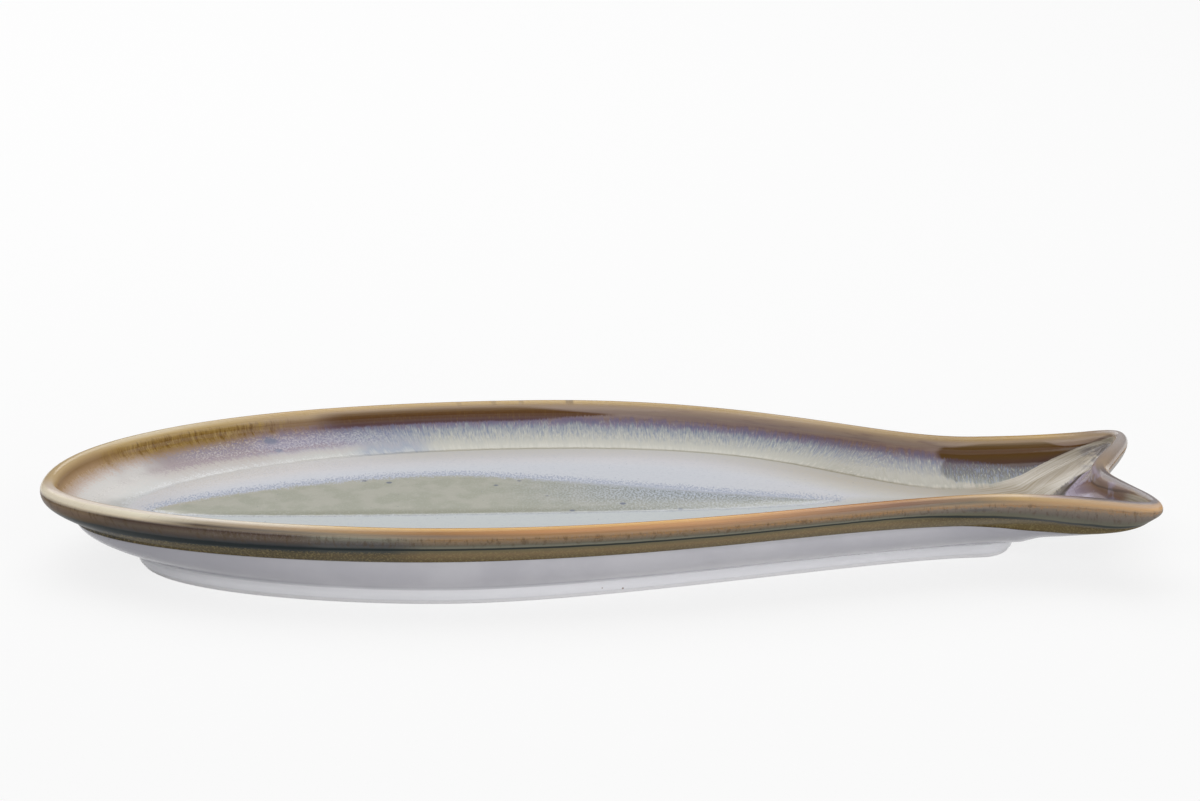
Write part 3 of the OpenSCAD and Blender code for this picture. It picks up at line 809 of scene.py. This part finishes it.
class Shade:
    """Writes the nodes of one material."""

    def __init__(self, name):
        self.material = bpy.data.materials.new(name)
        self.material.use_nodes = True
        self.tree = self.material.node_tree
        self.surface = self.tree.nodes["Principled BSDF"]

    def put(self, socket, value):
        """Links a socket to what it follows, or sets its number or colour."""
        if isinstance(value, Value):
            self.tree.links.new(value.socket, socket)
        elif value is not None:
            socket.default_value = rgb(value) if isinstance(value, str) else value

    def node(self, kind, inputs, out=0, **settings):
        """Adds a node with its inputs by name or number, and gives one of its outputs."""
        made = self.tree.nodes.new("ShaderNode" + kind)
        for key, value in settings.items():
            setattr(made, key, value)
        for key, value in inputs.items():
            self.put(made.inputs[key], value)
        return Value(self, made.outputs[out])

    def math(self, operation, a, b=None):
        """One step of arithmetic."""
        return self.node("Math", {0: a, 1: b}, operation=operation)

    def most(self, a, b):
        """The greater of two numbers."""
        return self.math("MAXIMUM", a, b)

    def step(self, value, low, high, to_low=0.0, to_high=1.0):
        """A smooth change from one number to another while the value goes from low to high."""
        if low > high:
            low, high, to_low, to_high = high, low, to_high, to_low
        return self.node("MapRange", {0: value, 1: low, 2: high, 3: to_low, 4: to_high},
                         interpolation_type="SMOOTHSTEP")

    def near_to(self, value, centre, half, soft):
        """1 within half of a centre, falling to 0 over a soft edge."""
        return self.step(abs(value - centre), half + soft, half)

    def patch(self, a, b, centre, radii, inner, outer):
        """1 inside an oval in two measures, falling to 0 between two sizes of it."""
        across = (a - centre[0]) * (1 / radii[0])
        down = (b - centre[1]) * (1 / radii[1])
        far_out = self.math("SQRT", across * across + down * down)
        return self.step(far_out, outer, inner)

    def blend(self, share, a, b):
        """From colour a to colour b by a share."""
        return self.node("Mix", {0: share, 6: a, 7: b}, 2, data_type="RGBA")

    def layers(self, colour, *coats):
        """Lays colours over a colour. Each of them comes after its share."""
        for share, following in coats:
            colour = self.blend(share, colour, following)
        return colour

    def ramp(self, value, stops):
        """A colour that follows a value through a few stops of place and colour."""
        made = self.tree.nodes.new("ShaderNodeValToRGB")
        self.put(made.inputs[0], value)
        elements = made.color_ramp.elements
        while len(elements) < len(stops):
            elements.new(1)
        for element, (place, colour) in zip(elements, stops.items()):
            element.position = place
            element.color = rgb(colour)
        return Value(self, made.outputs[0])

    def along(self, value, low, high, stops):
        """A ramp over a length: its stops are places from low to high."""
        share = self.node("MapRange", {0: value, 1: low, 2: high})
        return self.ramp(share, {(place - low) / (high - low): colour for place, colour in stops.items()})

    def vector(self, x, y, z):
        """A vector from its three numbers."""
        return self.node("CombineXYZ", {0: x, 1: y, 2: z})

    def split(self, vector):
        """The three numbers of a vector or a colour."""
        made = self.tree.nodes.new("ShaderNodeSeparateXYZ")
        self.put(made.inputs[0], vector)
        return [Value(self, output) for output in made.outputs]

    def noise(self, vector, scale, detail=2.0, roughness=0.5):
        """Noise between 0 and 1 with one wave in 1 / scale of the vector's unit."""
        return self.node("TexNoise", {"Vector": vector, "Scale": scale, "Detail": detail,
                                      "Roughness": roughness})

    def specks(self, vector, cell, radius, share):
        """Small dots: one in each cell of that size, kept in a share of the cells."""
        made = self.tree.nodes.new("ShaderNodeTexVoronoi")
        self.put(made.inputs["Vector"], vector)
        made.inputs["Scale"].default_value = 1 / cell
        draw, distance = Value(self, made.outputs["Color"]), Value(self, made.outputs["Distance"])
        kept = self.step(self.split(draw)[0], share, share * 0.7)
        return kept * self.step(distance, radius / cell, radius * 0.5 / cell)

    def note(self, name, out="Fac"):
        """A note that the vertices carry."""
        return self.node("Attribute", {}, out, attribute_name=name)

    def millimetres(self, vector):
        """A vector in metres, in millimetres."""
        return self.node("VectorMath", {0: vector, "Scale": 1 / mm}, operation="SCALE")

    def here(self):
        """The place on the object, in millimetres."""
        return self.millimetres(self.node("TexCoord", {}, "Object"))

    def finish(self, colour, roughness, height, relief, shine=0.5):
        """Sets colour, roughness and shine, and a bump whose relief is in millimetres."""
        self.put(self.surface.inputs["Base Color"], colour)
        self.put(self.surface.inputs["Roughness"], roughness)
        self.put(self.surface.inputs["Specular IOR Level"], shine)
        bump = self.node("Bump", {"Strength": 1.0, "Distance": relief * mm, "Height": height})
        self.put(self.surface.inputs["Normal"], bump)
        return self.material


# %% [markdown]
# ## The reactive glaze
# Two glazes lie over each other here. Where they ran in the kiln the upper one
# tore into streaks down the wall, so the streaks are noise that is stretched along
# the depth and fine along the lip. The depth of every boundary is shifted by it.
# The colours themselves are ramps: down the wall they follow the depth, and along
# the fish one ramp gives way to the next.

# %% Places and streaks
class Places:
    """The measures that the colours of the reactive glaze are worked out from."""

    def __init__(self, s):
        self.here = s.here()
        self.x, self.y, _ = s.split(self.here)
        self.lip_x, self.lip_y, _ = s.split(s.millimetres(s.note("lip_point", "Vector")))
        self.depth = s.note("depth")
        self.shore = s.note("shore")
        in_tail = s.step(self.lip_x, 70, 105)
        in_body = 1.0 - in_tail
        along = self.lip_x * in_body + self.x * in_tail
        aside = self.lip_y * in_body
        down = self.depth * 2.2
        self.strand = s.vector(along, aside, down)
        self.run = s.noise(self.strand, 0.75, 3.0, 0.65)
        self.fine_run = s.noise(s.vector(along, aside, down * 2.0), 1.9, 3.0, 0.65)
        self.grain = s.noise(self.here, 1.6, 2.0, 0.6)
        self.mottle = s.noise(self.here, 1.1, 3.0, 0.75)
        self.cloud = s.noise(self.here, 0.06, 2.0)
        self.fleck = s.noise(s.vector(self.x, self.y * 0.5, 0.0), 1.5, 2.0, 0.7)
        reach = s.step(self.depth, 0.2, 0.45) * s.step(self.lip_x, -105, -70, 0.18, 0.42)
        torn = (self.run - 0.5) * reach
        grainy = (self.grain - 0.5) * s.step(self.lip_x, -70, -105, 0.0, 0.28)
        self.flow = self.depth + torn + grainy * s.step(self.depth, 0.25, 0.5)
        self.far = s.step(self.lip_y, -19.0, -6.0)
        self.drift = self.lip_x + (self.cloud - 0.5) * 30.0


# %% Colours of the lip
def lip_colour(s, at):
    """The lip: tan at the back, and orange, caramel and cream on the near side, where the palest cream is
    partly a painted highlight.
    """
    far = s.along(at.lip_x, -176, 176, {
        -176: "c2a87c", -146: "cdbb98", -104: "bf9f66", 5: "bb9b5e", 40: "ad8d50", 70: "b69a6c",
        116: "a4844c", 150: "c29f60", 168: "a39080", 176: "b3aaa6"})
    # The palest cream on the near side, along the top on the left and on the outer side at the nose, is
    # partly a painted highlight.
    top = s.along(at.lip_x, -176, 176, {
        -176: "d6c6b6", -125: "e4dacc", -100: "e0d2ba", -78: "d6b070", -50: "d2a04a", 35: "d8a24c",
        65: "c68c50", 95: "b07c46", 117: "cba87a", 131: "e2caa6", 144: "a5918c", 157: "60504e",
        176: "9b9393"})
    side = s.along(at.lip_x, -176, 176, {
        -176: "fbeed6", -143: "fdf4dc", -122: "c0b09a", -78: "bf9d77", -50: "b2875d", -15: "d29c6e",
        35: "d5a479", 95: "987867", 117: "9d8770", 131: "caaa79", 176: "d8baa0"})
    low = s.along(at.lip_x, -176, 176, {
        -176: "fff4dc", -143: "f4e6cc", -125: "5a4c44", -104: "827a72", -78: "938670", -50: "8a7460",
        -20: "a4794a", 40: "aa805a", 95: "7e6a58", 117: "7a705f", 142: "bd976c", 176: "d8ab78"})
    near = s.layers(top, (s.step(at.depth, -0.03, -0.09), side), (s.step(at.depth, -0.1, -0.15), low))
    colour = s.blend(at.far, near, far)
    for place, width, strength in ((-5.7, 0.9, 0.7), (-22, 0.5, 0.4), (-31.7, 0.5, 0.4), (-44, 0.5, 0.3)):
        tick = s.near_to(at.lip_x, place, width, 0.7) * at.far
        colour = s.blend(tick * strength, colour, "71572f")
    return s.blend(s.step(at.fine_run, 0.55, 0.8) * 0.3, colour, "a88a5e")


# %% Colours of the wall
def wall_colour(s, at):
    """The wall inside, from the nose over golden olive, violet, blue and mauve to the tail."""
    nose_end = s.ramp(at.flow, {
        0.08: "ccb084", 0.22: "a28157", 0.36: "be9f7c", 0.5: "ccbbb0", 0.62: "d4d2cf", 0.8: "c6c3bf",
        0.92: "bebfbd", 1.0: "d2d3d5"})
    gold = s.ramp(at.flow, {
        0.09: "dec494", 0.16: "ae8c46", 0.23: "916d26", 0.3: "8c6508", 0.38: "a58650", 0.47: "a3866a",
        0.58: "998a8d", 0.7: "a09194", 0.84: "b5ada8", 0.94: "b9b6b4", 1.0: "cecfcf"})
    violet = s.ramp(at.flow, {
        0.09: "d6bc96", 0.22: "a28463", 0.3: "94734f", 0.4: "b0978a", 0.56: "aaa2b1", 0.7: "a6a1b2",
        0.84: "bab5b2", 0.94: "bebfbb", 1.0: "d0d0cd"})
    blue = s.ramp(at.flow, {
        0.09: "c8b096", 0.2: "8f7660", 0.38: "857078", 0.5: "9496a8", 0.64: "a1a6b2", 0.78: "a3a5b0",
        0.9: "949dad", 1.0: "b0b4b8"})
    mauve = s.ramp(at.flow, {
        0.07: "c0a88c", 0.2: "a89287", 0.33: "98827d", 0.44: "9489a0", 0.56: "a3a8b0", 0.7: "b7b8b2",
        0.88: "bdbcb1", 1.0: "c9c7bc"})
    wrist = s.ramp(at.flow, {
        0.07: "b9a07e", 0.2: "a99385", 0.33: "967c72", 0.48: "8a8290", 0.62: "a0a1a3", 0.8: "b0ada2",
        0.93: "a3a092", 1.0: "b9b4a7"})
    colour = nose_end
    for low, high, following in ((-166, -148, gold), (-122, -106, violet), (-100, -82, blue),
                                 (-70, -50, mauve), (55, 90, wrist)):
        colour = s.blend(s.step(at.drift, low, high), colour, following)
    layers = s.noise(s.vector(at.lip_x * 0.06, at.lip_y * 0.06, at.depth * 14), 1.0, 3.0, 0.6)
    upper = s.step(at.depth, 0.1, 0.16) * s.step(at.depth, 0.5, 0.35) * s.step(at.lip_x, -20, 30)
    return s.layers(colour, (s.step(layers, 0.5, 0.66) * upper * 0.5, "86706c"),
                    (s.step(layers, 0.46, 0.34) * upper * 0.4, "b09c88"))


def dark_glaze_and_reflection(s, at, colour):
    """The two dark brown places on the wall, where the glaze is smooth. Their darkness against the paler
    mauve round them is partly painted reflection: the glossy wall mirrors dark surroundings there and
    white light elsewhere.
    """
    ragged = at.depth + (at.fine_run - 0.5) * 0.1
    above = s.step(at.lip_x, -26, 12, 0.13, 0.26)
    below = s.step(at.lip_x, -26, 14, 0.42, 0.28)
    # The long dark patch is partly painted reflection of dark surroundings in the glossy wall.
    long_patch_and_reflection = s.step(at.depth - above, -0.03, 0.03) * s.step(ragged - below, 0.03, -0.03)
    long_patch_and_reflection = long_patch_and_reflection * s.step(at.drift, -100, -78) * s.step(at.lip_x, 13, 3)
    brown = s.ramp(at.depth, {0.12: "86683f", 0.2: "704c24", 0.3: "603608", 0.4: "685054"})
    brown = s.blend(s.step(at.fine_run, 0.5, 0.7) * 0.3, brown, "8a6428")
    # The dark veil on the tail is partly painted reflection of dark surroundings in the glossy wall.
    veil = s.patch(at.lip_x, at.depth + (at.run - 0.5) * 0.1, (134, 0.5), (18, 0.42), 0.9, 1.0)
    veil = veil * s.step(at.depth, 0.18, 0.3)
    veil_colour = s.ramp(at.flow, {
        0.4: "5f4a50", 0.54: "57464f", 0.66: "4e4e54", 0.76: "565655", 0.86: "787c78", 0.95: "9ea196"})
    torn = s.step(at.depth, 0.45, 0.7) * s.step(at.lip_x, 118, 130, 0.4, 1.0)
    veil_colour = s.layers(veil_colour, (s.step(at.fine_run, 0.52, 0.6) * torn * 0.7, "8791aa"),
                           (s.step(at.fine_run, 0.44, 0.36) * torn * 0.7, "b4b4a2"))
    # The brown patch on the tail is partly painted reflection of dark surroundings in the glossy wall.
    low_edge = s.step(at.lip_x, 118, 146, 0.46, 0.64)
    top_edge = s.step(at.lip_x, 115, 130, 0.2, 0.135) + s.step(at.lip_x, 148, 160, 0.0, 0.12)
    patch = s.step(at.depth - top_edge, -0.022, 0.022) * s.step(ragged - low_edge, 0.035, -0.035)
    bow = abs(at.depth - 0.32) * 14.0
    patch = patch * s.step(at.lip_x - bow, 111.5, 114)
    tail_brown = s.ramp(at.depth, {
        0.1: "b89868", 0.16: "7e6645", 0.22: "755830", 0.3: "633b00", 0.4: "664a22", 0.5: "5e4432",
        0.62: "42282a"})
    colour = s.layers(colour, (long_patch_and_reflection, brown), (veil * 0.92, veil_colour), (patch, tail_brown))
    return colour, s.most(long_patch_and_reflection, s.most(patch, veil * 0.75))


def fringe(s, at, colour):
    """Golden, blue grey and cream streaks where the upper glaze tore, and grains near the nose."""
    golden = s.step(at.depth, 0.1, 0.18) * s.step(at.depth, 0.5, 0.34)
    golden = golden * s.step(at.drift, -166, -150) * s.step(at.drift, -98, -114)
    for streaks, share in ((at.run, 0.6), (at.fine_run, 0.45)):
        colour = s.layers(colour, (s.step(streaks, 0.53, 0.64) * golden * share, "c2a258"),
                          (s.step(streaks, 0.45, 0.35) * golden * share, "6a460a"))
    torn = s.step(at.depth, 0.36, 0.46) * s.step(at.depth, 0.9, 0.6) * s.step(at.lip_x, -95, -70)
    purple = s.near_to(at.flow, 0.42, 0.03, 0.1) * s.step(at.run, 0.35, 0.6)
    purple = purple * s.step(at.drift, -135, -95)
    grainy = s.patch(at.lip_x, at.depth, (-108, 0.62), (46, 0.24), 0.6, 1.0)
    seam = s.near_to(at.flow, 0.74, 0.01, 0.05) * s.near_to(at.lip_x, -122, 24, 16)
    colour = s.layers(
        colour, (s.step(at.fine_run, 0.5, 0.64) * torn * 0.65, "7281a2"),
        (s.step(at.fine_run, 0.47, 0.34) * torn * 0.6, "d4d6ca"), (purple * 0.5, "6f5f80"),
        (grainy * s.step(at.grain, 0.5, 0.6) * 0.6, "7f7a9c"),
        (grainy * s.step(at.grain, 0.48, 0.38) * 0.55, "d2ced4"), (seam * 0.6, "93808a"))
    uneven = at.depth + (at.grain - 0.5) * 0.1
    for centre, radii in (((-113, 0.55), (3.4, 0.09)), ((-113, 0.74), (2.0, 0.05))):
        drip = s.patch(at.lip_x, uneven, centre, radii, 0.4, 1.0)
        colour = s.blend(drip * at.far * 0.8, colour, "737a94")
    return colour


# %% Colours of the floor
def floor_colour(s, at):
    """The floor: a lilac white ring, a speckled border and the sage green pool."""
    ring = s.along(at.depth, 1, 2, {1.0: "cbc9c2", 1.2: "d2d0cd", 1.5: "dbdbdf", 1.8: "dadde4"})
    end = s.along(at.depth, 1, 2, {1.0: "c0bbb0", 1.25: "c9c4b9", 1.6: "d4d2cd", 1.9: "dedee2"})
    left = s.along(at.depth, 1, 2, {1.0: "dad9d8", 1.4: "dfdee1", 1.8: "dcdfe7"})
    cream = s.step(at.x, -60, -100) * s.step(at.depth, 1.7, 1.2)
    ring = s.layers(
        ring, (s.step(at.x, -50, -85), left), (s.step(at.x, 30, 85), end),
        (s.step(at.y, -11, -17), "d5dadb"), (s.step(at.x, -120, -150), "d5d5da"),
        (cream * s.step(at.grain, 0.5, 0.62) * 0.5, "c8c2bb"),
        (s.step(at.mottle, 0.5, 0.68) * 0.3, "bcc2ce"))
    unrest = s.step(at.y, -15, -8, 2.2, 6.0)
    ragged = at.shore + (s.noise(at.here, 0.3, 4.0, 0.7) - 0.5) * unrest
    flecked = (at.fleck - 0.5) * s.step(at.y, -15, -8, 2.0, 16.0)
    border = s.blend(s.step(at.fleck, 0.4, 0.62), "ccd1dd", "afb6c8")
    reach = s.step(at.y, -14, -4, 0.3, 3.6)
    blue_end = s.blend(s.step(at.fleck, 0.42, 0.58), "959b9b", "c6cedc")
    to_end = s.step(at.x, -40, 36) * s.step(at.y, -14, -2, 0.4, 1.0)
    green = s.blend(s.step(s.noise(at.here, 0.12, 3.0), 0.4, 0.62), "b1b2a4", "bcbbaf")
    green = s.layers(green, (s.step(at.y, -11, -16), "9fa090"),
                     (s.step(at.fleck, 0.5, 0.7) * 0.35, "c6c7bc"), (to_end, blue_end))
    shore = s.step(ragged + flecked * 0.6, -1.0, 2.0)
    dark = s.specks(at.here, cell=8.5, radius=1.3, share=0.5)
    fine = s.specks(at.here, cell=3.0, radius=0.3, share=0.3)
    return s.layers(ring, (s.step(ragged + reach + flecked, -1.5, 2.5), border), (shore, green),
                    (dark * shore * 0.75, "687189"), (fine * 0.5, "7d8496"))


# %% Colours of the band outside
def band_colour(s, at):
    """The outside band, its thin dark line and the speckled stripe below it."""
    down = at.depth * -1.0 - 0.2
    wave = down + (s.noise(at.strand, 0.12, 2.0) - 0.5) * 0.1
    half = wave * 0.5
    # At the nose the band turns near black, which is partly painted shade where it faces away from the
    # lamps.
    nose_end = s.ramp(half, {
        0.0: "8a765e", 0.15: "735f4f", 0.26: "604e38", 0.36: "2e2820", 0.45: "1e1d1e", 0.56: "0e1013",
        0.72: "141416", 1.0: "3c3626"})
    brown = s.ramp(half, {
        0.0: "5a4a42", 0.15: "665a4e", 0.25: "564c46", 0.35: "434343", 0.44: "232830", 0.58: "363a39",
        0.7: "584f3a", 0.95: "50462f"})
    left = s.ramp(half, {
        0.0: "8b8979", 0.14: "67635c", 0.26: "555252", 0.35: "575755", 0.44: "3d4243", 0.58: "484a46",
        0.7: "5f533e", 0.95: "574f3c"})
    middle = s.ramp(half, {
        0.0: "9c7c56", 0.08: "8c755a", 0.2: "796b59", 0.28: "6a6658", 0.37: "7a796d", 0.56: "71684f",
        0.7: "7f6c50", 0.9: "685a40", 1.0: "56482a"})
    tail = s.ramp(half, {
        0.0: "a98c6c", 0.1: "857a6e", 0.24: "756c64", 0.38: "6a685b", 0.48: "6c6a58", 0.62: "574c34",
        0.75: "6b5e42", 0.94: "685a3a", 1.0: "493b1e"})
    lilac = s.step(down, 0.6, 0.35) * s.step(at.fine_run, 0.45, 0.7) * s.step(at.lip_x, -140, -110)
    deep = s.step(at.run, 0.5, 0.34) * s.step(down, 0.9, 0.5)
    amber = s.step(down, 0.34, 0.1) * s.step(at.mottle, 0.5, 0.6) * s.step(at.lip_x, -30, 20)
    blotch = s.patch(at.lip_x, down + (at.mottle - 0.5) * 0.2, (119, 0.42), (6, 0.17), 0.5, 1.0)
    speck = s.step(at.grain, 0.5, 0.62) * s.step(down, 1.1, 1.25)
    wide = s.step(at.lip_x, -172, -84, 0.2, 0.055)
    centre = s.step(at.lip_x, 96, 118, 0.94, 1.14) + s.step(at.lip_x, 146, 158, 0.0, -0.14)
    line = s.step(abs(wave - centre) - wide, 0.08, 0.0)
    return s.layers(
        brown, (s.step(at.drift, -98, -84), left), (s.step(at.drift, -70, -42), middle),
        (s.step(at.drift, 85, 118), tail), (s.step(at.lip_x, -148, -162), nose_end),
        (lilac * 0.35, "8b807c"), (deep * 0.5, "52422f"), (amber * 0.5, "b08355"),
        (blotch * 0.6, "5f5e5c"), (speck * 0.45, "91825a"), (line * 0.92, "1c2526"))


# %% The tail and the crease
def tail_colour(s, at, colour):
    """The pale streak down each valley of the tail with its dark edges, and the notch wall."""
    notch_side = s.step(abs(at.lip_y + 14.0), 25, 20) * s.step(at.lip_x, 156, 161)
    blotch = s.noise(at.here, 0.16, 3.0, 0.6)
    mauve = s.ramp(at.depth, {
        0.0: "b0a09a", 0.14: "a08a80", 0.34: "8a6e5c", 0.55: "8c7a84", 0.75: "a79cb0", 0.82: "77716c"})
    mauve = s.blend(s.step(blotch, 0.48, 0.62) * 0.65, mauve, "b7adc2")
    over = at.depth - (145.0 - at.lip_x) * 0.02 - 0.73
    lines = s.noise(s.vector(over * 24, at.x * 0.02, 0.0), 1.0, 2.0, 0.6)
    over = over + (at.run - 0.5) * 0.03
    streak = s.step(over, -0.015, 0.015) * s.step(at.lip_x, 134, 141) * (1.0 - notch_side)
    shaded = s.near_to(over, -0.03, 0.01, 0.03) * s.step(at.lip_x, 145, 160)
    low = s.step(at.flow, 0.9, 0.98) * s.step(at.x, 114, 128)
    pale = s.blend(s.step(lines, 0.35, 0.6), "b0a591", "c6beb1")
    pale = s.blend(s.step(at.x, 128, 112), pale, "cac5bb")
    corner = s.step(at.x, 157, 163) * s.step(at.lip_x, 158, 164)
    corner = corner * s.step(at.depth, 0.3, 0.5) * s.step(blotch, 0.42, 0.55)
    first = s.near_to(at.depth, 0.8, 0.015, 0.045) * notch_side
    second = s.near_to(at.depth, 0.93, 0.005, 0.03) * notch_side
    return s.layers(
        colour, (notch_side, mauve), (shaded * 0.5, "554b45"), (s.most(streak, low), pale),
        (corner * 0.6, "5f5a68"), (first * 0.85, "46403a"), (second * 0.6, "6f6a60"))


def crease(s, at, colour):
    """A fine olive line at the foot of the wall: partly glaze that gathered there, partly painted shade
    in the crease.
    """
    off = at.depth + (s.noise(at.strand, 0.2) - 0.5) * 0.03
    line = s.near_to(off, 1.0, 0.006, 0.025) * s.step(at.lip_x, -80, -40)
    strong = s.step(at.lip_x, 20, 60, 0.4, 0.5) * s.step(at.lip_x, 125, 108)
    return s.blend(line * strong * at.far, colour, "8f8b74")


# %% The reactive glaze put together
def reactive_glaze(name, shine):
    """The glaze of the lip, the wall, the floor and the pool, or of the outside band."""
    s = Shade(name)
    at = Places(s)
    wall, smooth = dark_glaze_and_reflection(s, at, wall_colour(s, at))
    colour = s.blend(smooth, fringe(s, at, wall), wall)
    on_floor = s.step(at.depth, 0.97, 1.06) * s.step(at.x, 130, 108)
    colour = s.blend(on_floor, tail_colour(s, at, colour), floor_colour(s, at))
    outside = s.step(at.depth, -0.12, -0.2)
    inner = s.step(at.depth + (at.fine_run - 0.5) * 0.05, 0.12, 0.04)
    on_lip = inner * s.step(at.depth, -0.2, -0.14)
    colour = s.layers(crease(s, at, colour), (outside, band_colour(s, at)), (on_lip, lip_colour(s, at)))
    matt = s.near_to(at.flow, 0.55, 0.1, 0.2) * (1.0 - smooth)
    roughness = 0.1 + matt * 0.22 + at.grain * 0.08 + s.step(at.depth, -0.15, -0.4) * 0.15
    height = s.noise(at.here, 0.35, 2.0) * 0.8 + at.grain * 0.12
    return s.finish(colour, roughness, height, relief=0.05, shine=shine)


# %% [markdown]
# ## White glaze and clay
# Under the dish the glaze is a plain glossy white with a few brown specks of iron
# that came through from the clay. It is greyer towards the nose and the tail, which
# is painted shade, and paler on the foot, which is partly painted light, and a thin
# brownish line marks where it meets the band. A flat white would look like plastic,
# so two near greys are mixed by a slow noise. The sole is bare clay, ground smooth,
# with a fine grain.

# %% White glaze and clay
def white_glaze():
    """The glossy white under the platter."""
    s = Shade("white_glaze")
    here, depth = s.here(), s.note("depth")
    x, _, _ = s.split(here)
    # Greyer towards the nose and the tail: painted shade, where the underside turns away from the lamps.
    ends = s.most(s.step(x, -60, -150), s.step(x, 70, 150))
    colour = s.blend(s.step(s.noise(here, 0.05, 3.0), 0.35, 0.65), "bcbbc2", "c6c5cb")
    iron = s.specks(here, cell=7.0, radius=0.45, share=0.12)
    # Over the cove and the foot the white turns paler, which is partly painted light from the front lamp.
    colour = s.layers(
        colour, (ends * 0.75, "a09fa8"), (s.step(depth, -3.04, -3.0), "7d7464"),
        (s.step(depth, -4.2, -5.2), "f6f6fa"), (iron * 0.8, "7c5f45"))
    roughness = 0.08 + s.noise(here, 0.5) * 0.1
    return s.finish(colour, roughness, s.noise(here, 0.3, 3.0), relief=0.06)


def bare_clay():
    """White stoneware with its grain and fine specks."""
    s = Shade("bare_clay")
    here = s.here()
    grain = s.noise(here, 2.5, 4.0, 0.7)
    fine = s.specks(here, cell=4.0, radius=0.3, share=0.3)
    colour = s.layers("eeedee", (grain, "f8f7f9"), (fine * 0.6, "8b7259"))
    return s.finish(colour, s.step(grain, 0.2, 0.8, 0.5, 0.75), grain, relief=0.06)


glaze_material = reactive_glaze("reactive_glaze", shine=0.4)
band_material = reactive_glaze("band_glaze", shine=0.12)
white_material, clay_material = white_glaze(), bare_clay()
wears = {"inside": glaze_material, "well_pool": glaze_material, "rim_band": band_material,
         "underside": white_material, "foot_glaze": white_material, "base_glaze": white_material,
         "foot_ring": clay_material, "clay_body": clay_material}
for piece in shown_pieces():
    for start, material in wears.items():
        if piece.name.startswith(start):
            piece.data.materials.clear()
            piece.data.materials.append(material)
            print(piece.name, "wears", material.name)

# %% [markdown]
# ## Table, light and camera
# The platter stands on a plain white table in a white studio. A large soft lamp
# hangs above and behind it, which draws the bright line along the near lip, and two
# weaker ones stand in front and on the right. The camera looks down at 19 degrees,
# from far away. The table lies a hair below the foot, so that the two don't touch.

# %% Table
table_size = 4
table_gap = 0.05 * mm
table_white = (0.9, 0.9, 0.9, 1)
own_light = 0.8


def table_material():
    """White that mostly lights itself, so a fifth of the shadow is left. It is open from below."""
    s = Shade("table")
    s.tree.nodes.remove(s.surface)
    seen = s.most(s.node("LightPath", {}, "Is Camera Ray"), s.node("LightPath", {}, "Is Glossy Ray"))
    matt = s.node("BsdfDiffuse", {"Color": table_white})
    from_above = s.node("MixShader", {0: seen * own_light, 1: matt, 2: s.node("Emission", {})})
    behind, clear = s.node("NewGeometry", {}, "Backfacing"), s.node("BsdfTransparent", {})
    shown = s.node("MixShader", {0: behind, 1: from_above, 2: clear})
    s.put(s.tree.nodes["Material Output"].inputs["Surface"], shown)
    return s.material


bm = bmesh.new()
bmesh.ops.create_grid(bm, x_segments=1, y_segments=1, size=table_size)
mesh = bpy.data.meshes.new("table")
bm.to_mesh(mesh)
bm.free()
table = bpy.data.objects.new("table", mesh)
table.location.z = -table_gap
mesh.materials.append(table_material())
bpy.context.scene.collection.objects.link(table)

# %% Light
def soft_lamp(name, place, size, power):
    """A square lamp that looks at the platter."""
    data = bpy.data.lights.new(name, "AREA")
    data.size, data.energy = size, power
    lamp = bpy.data.objects.new(name, data)
    lamp.location = place
    lamp.rotation_euler = (-Vector(place)).to_track_quat("-Z", "Y").to_euler()
    bpy.context.scene.collection.objects.link(lamp)
    print(name, "lamp,", power, "W")


soft_lamp("overhead", place=(-0.25, 0.6, 1.1), size=1.5, power=15)
soft_lamp("front", place=(0.1, -1.4, 0.5), size=1.5, power=6.5)
soft_lamp("right", place=(1.2, -0.9, 0.5), size=1.2, power=7.5)
world = bpy.data.worlds.new("studio")
bpy.context.scene.world = world
world.use_nodes = True
background = world.node_tree.nodes["Background"].inputs
background["Color"].default_value = (1, 1, 1, 1)
background["Strength"].default_value = 0.2

# %% Camera
yaw, elevation = math.radians(2.5157), math.radians(19)
distance = 1200 * mm
target = Vector((1.4966, -13.066, 52.683)) * mm
sensor_width = 36
lens = 3.168 * sensor_width
looking = Vector((math.sin(yaw) * math.cos(elevation), math.cos(yaw) * math.cos(elevation),
                  -math.sin(elevation)))
camera_data = bpy.data.cameras.new("camera")
camera_data.sensor_width = sensor_width
camera_data.lens = lens
camera = bpy.data.objects.new("camera", camera_data)
camera.location = target - distance * looking
camera.rotation_euler = looking.to_track_quat("-Z", "Y").to_euler()
bpy.context.scene.collection.objects.link(camera)
bpy.context.scene.camera = camera
bpy.context.scene.view_settings.view_transform = "Standard"
print("camera at", [round(c, 3) for c in camera.location])
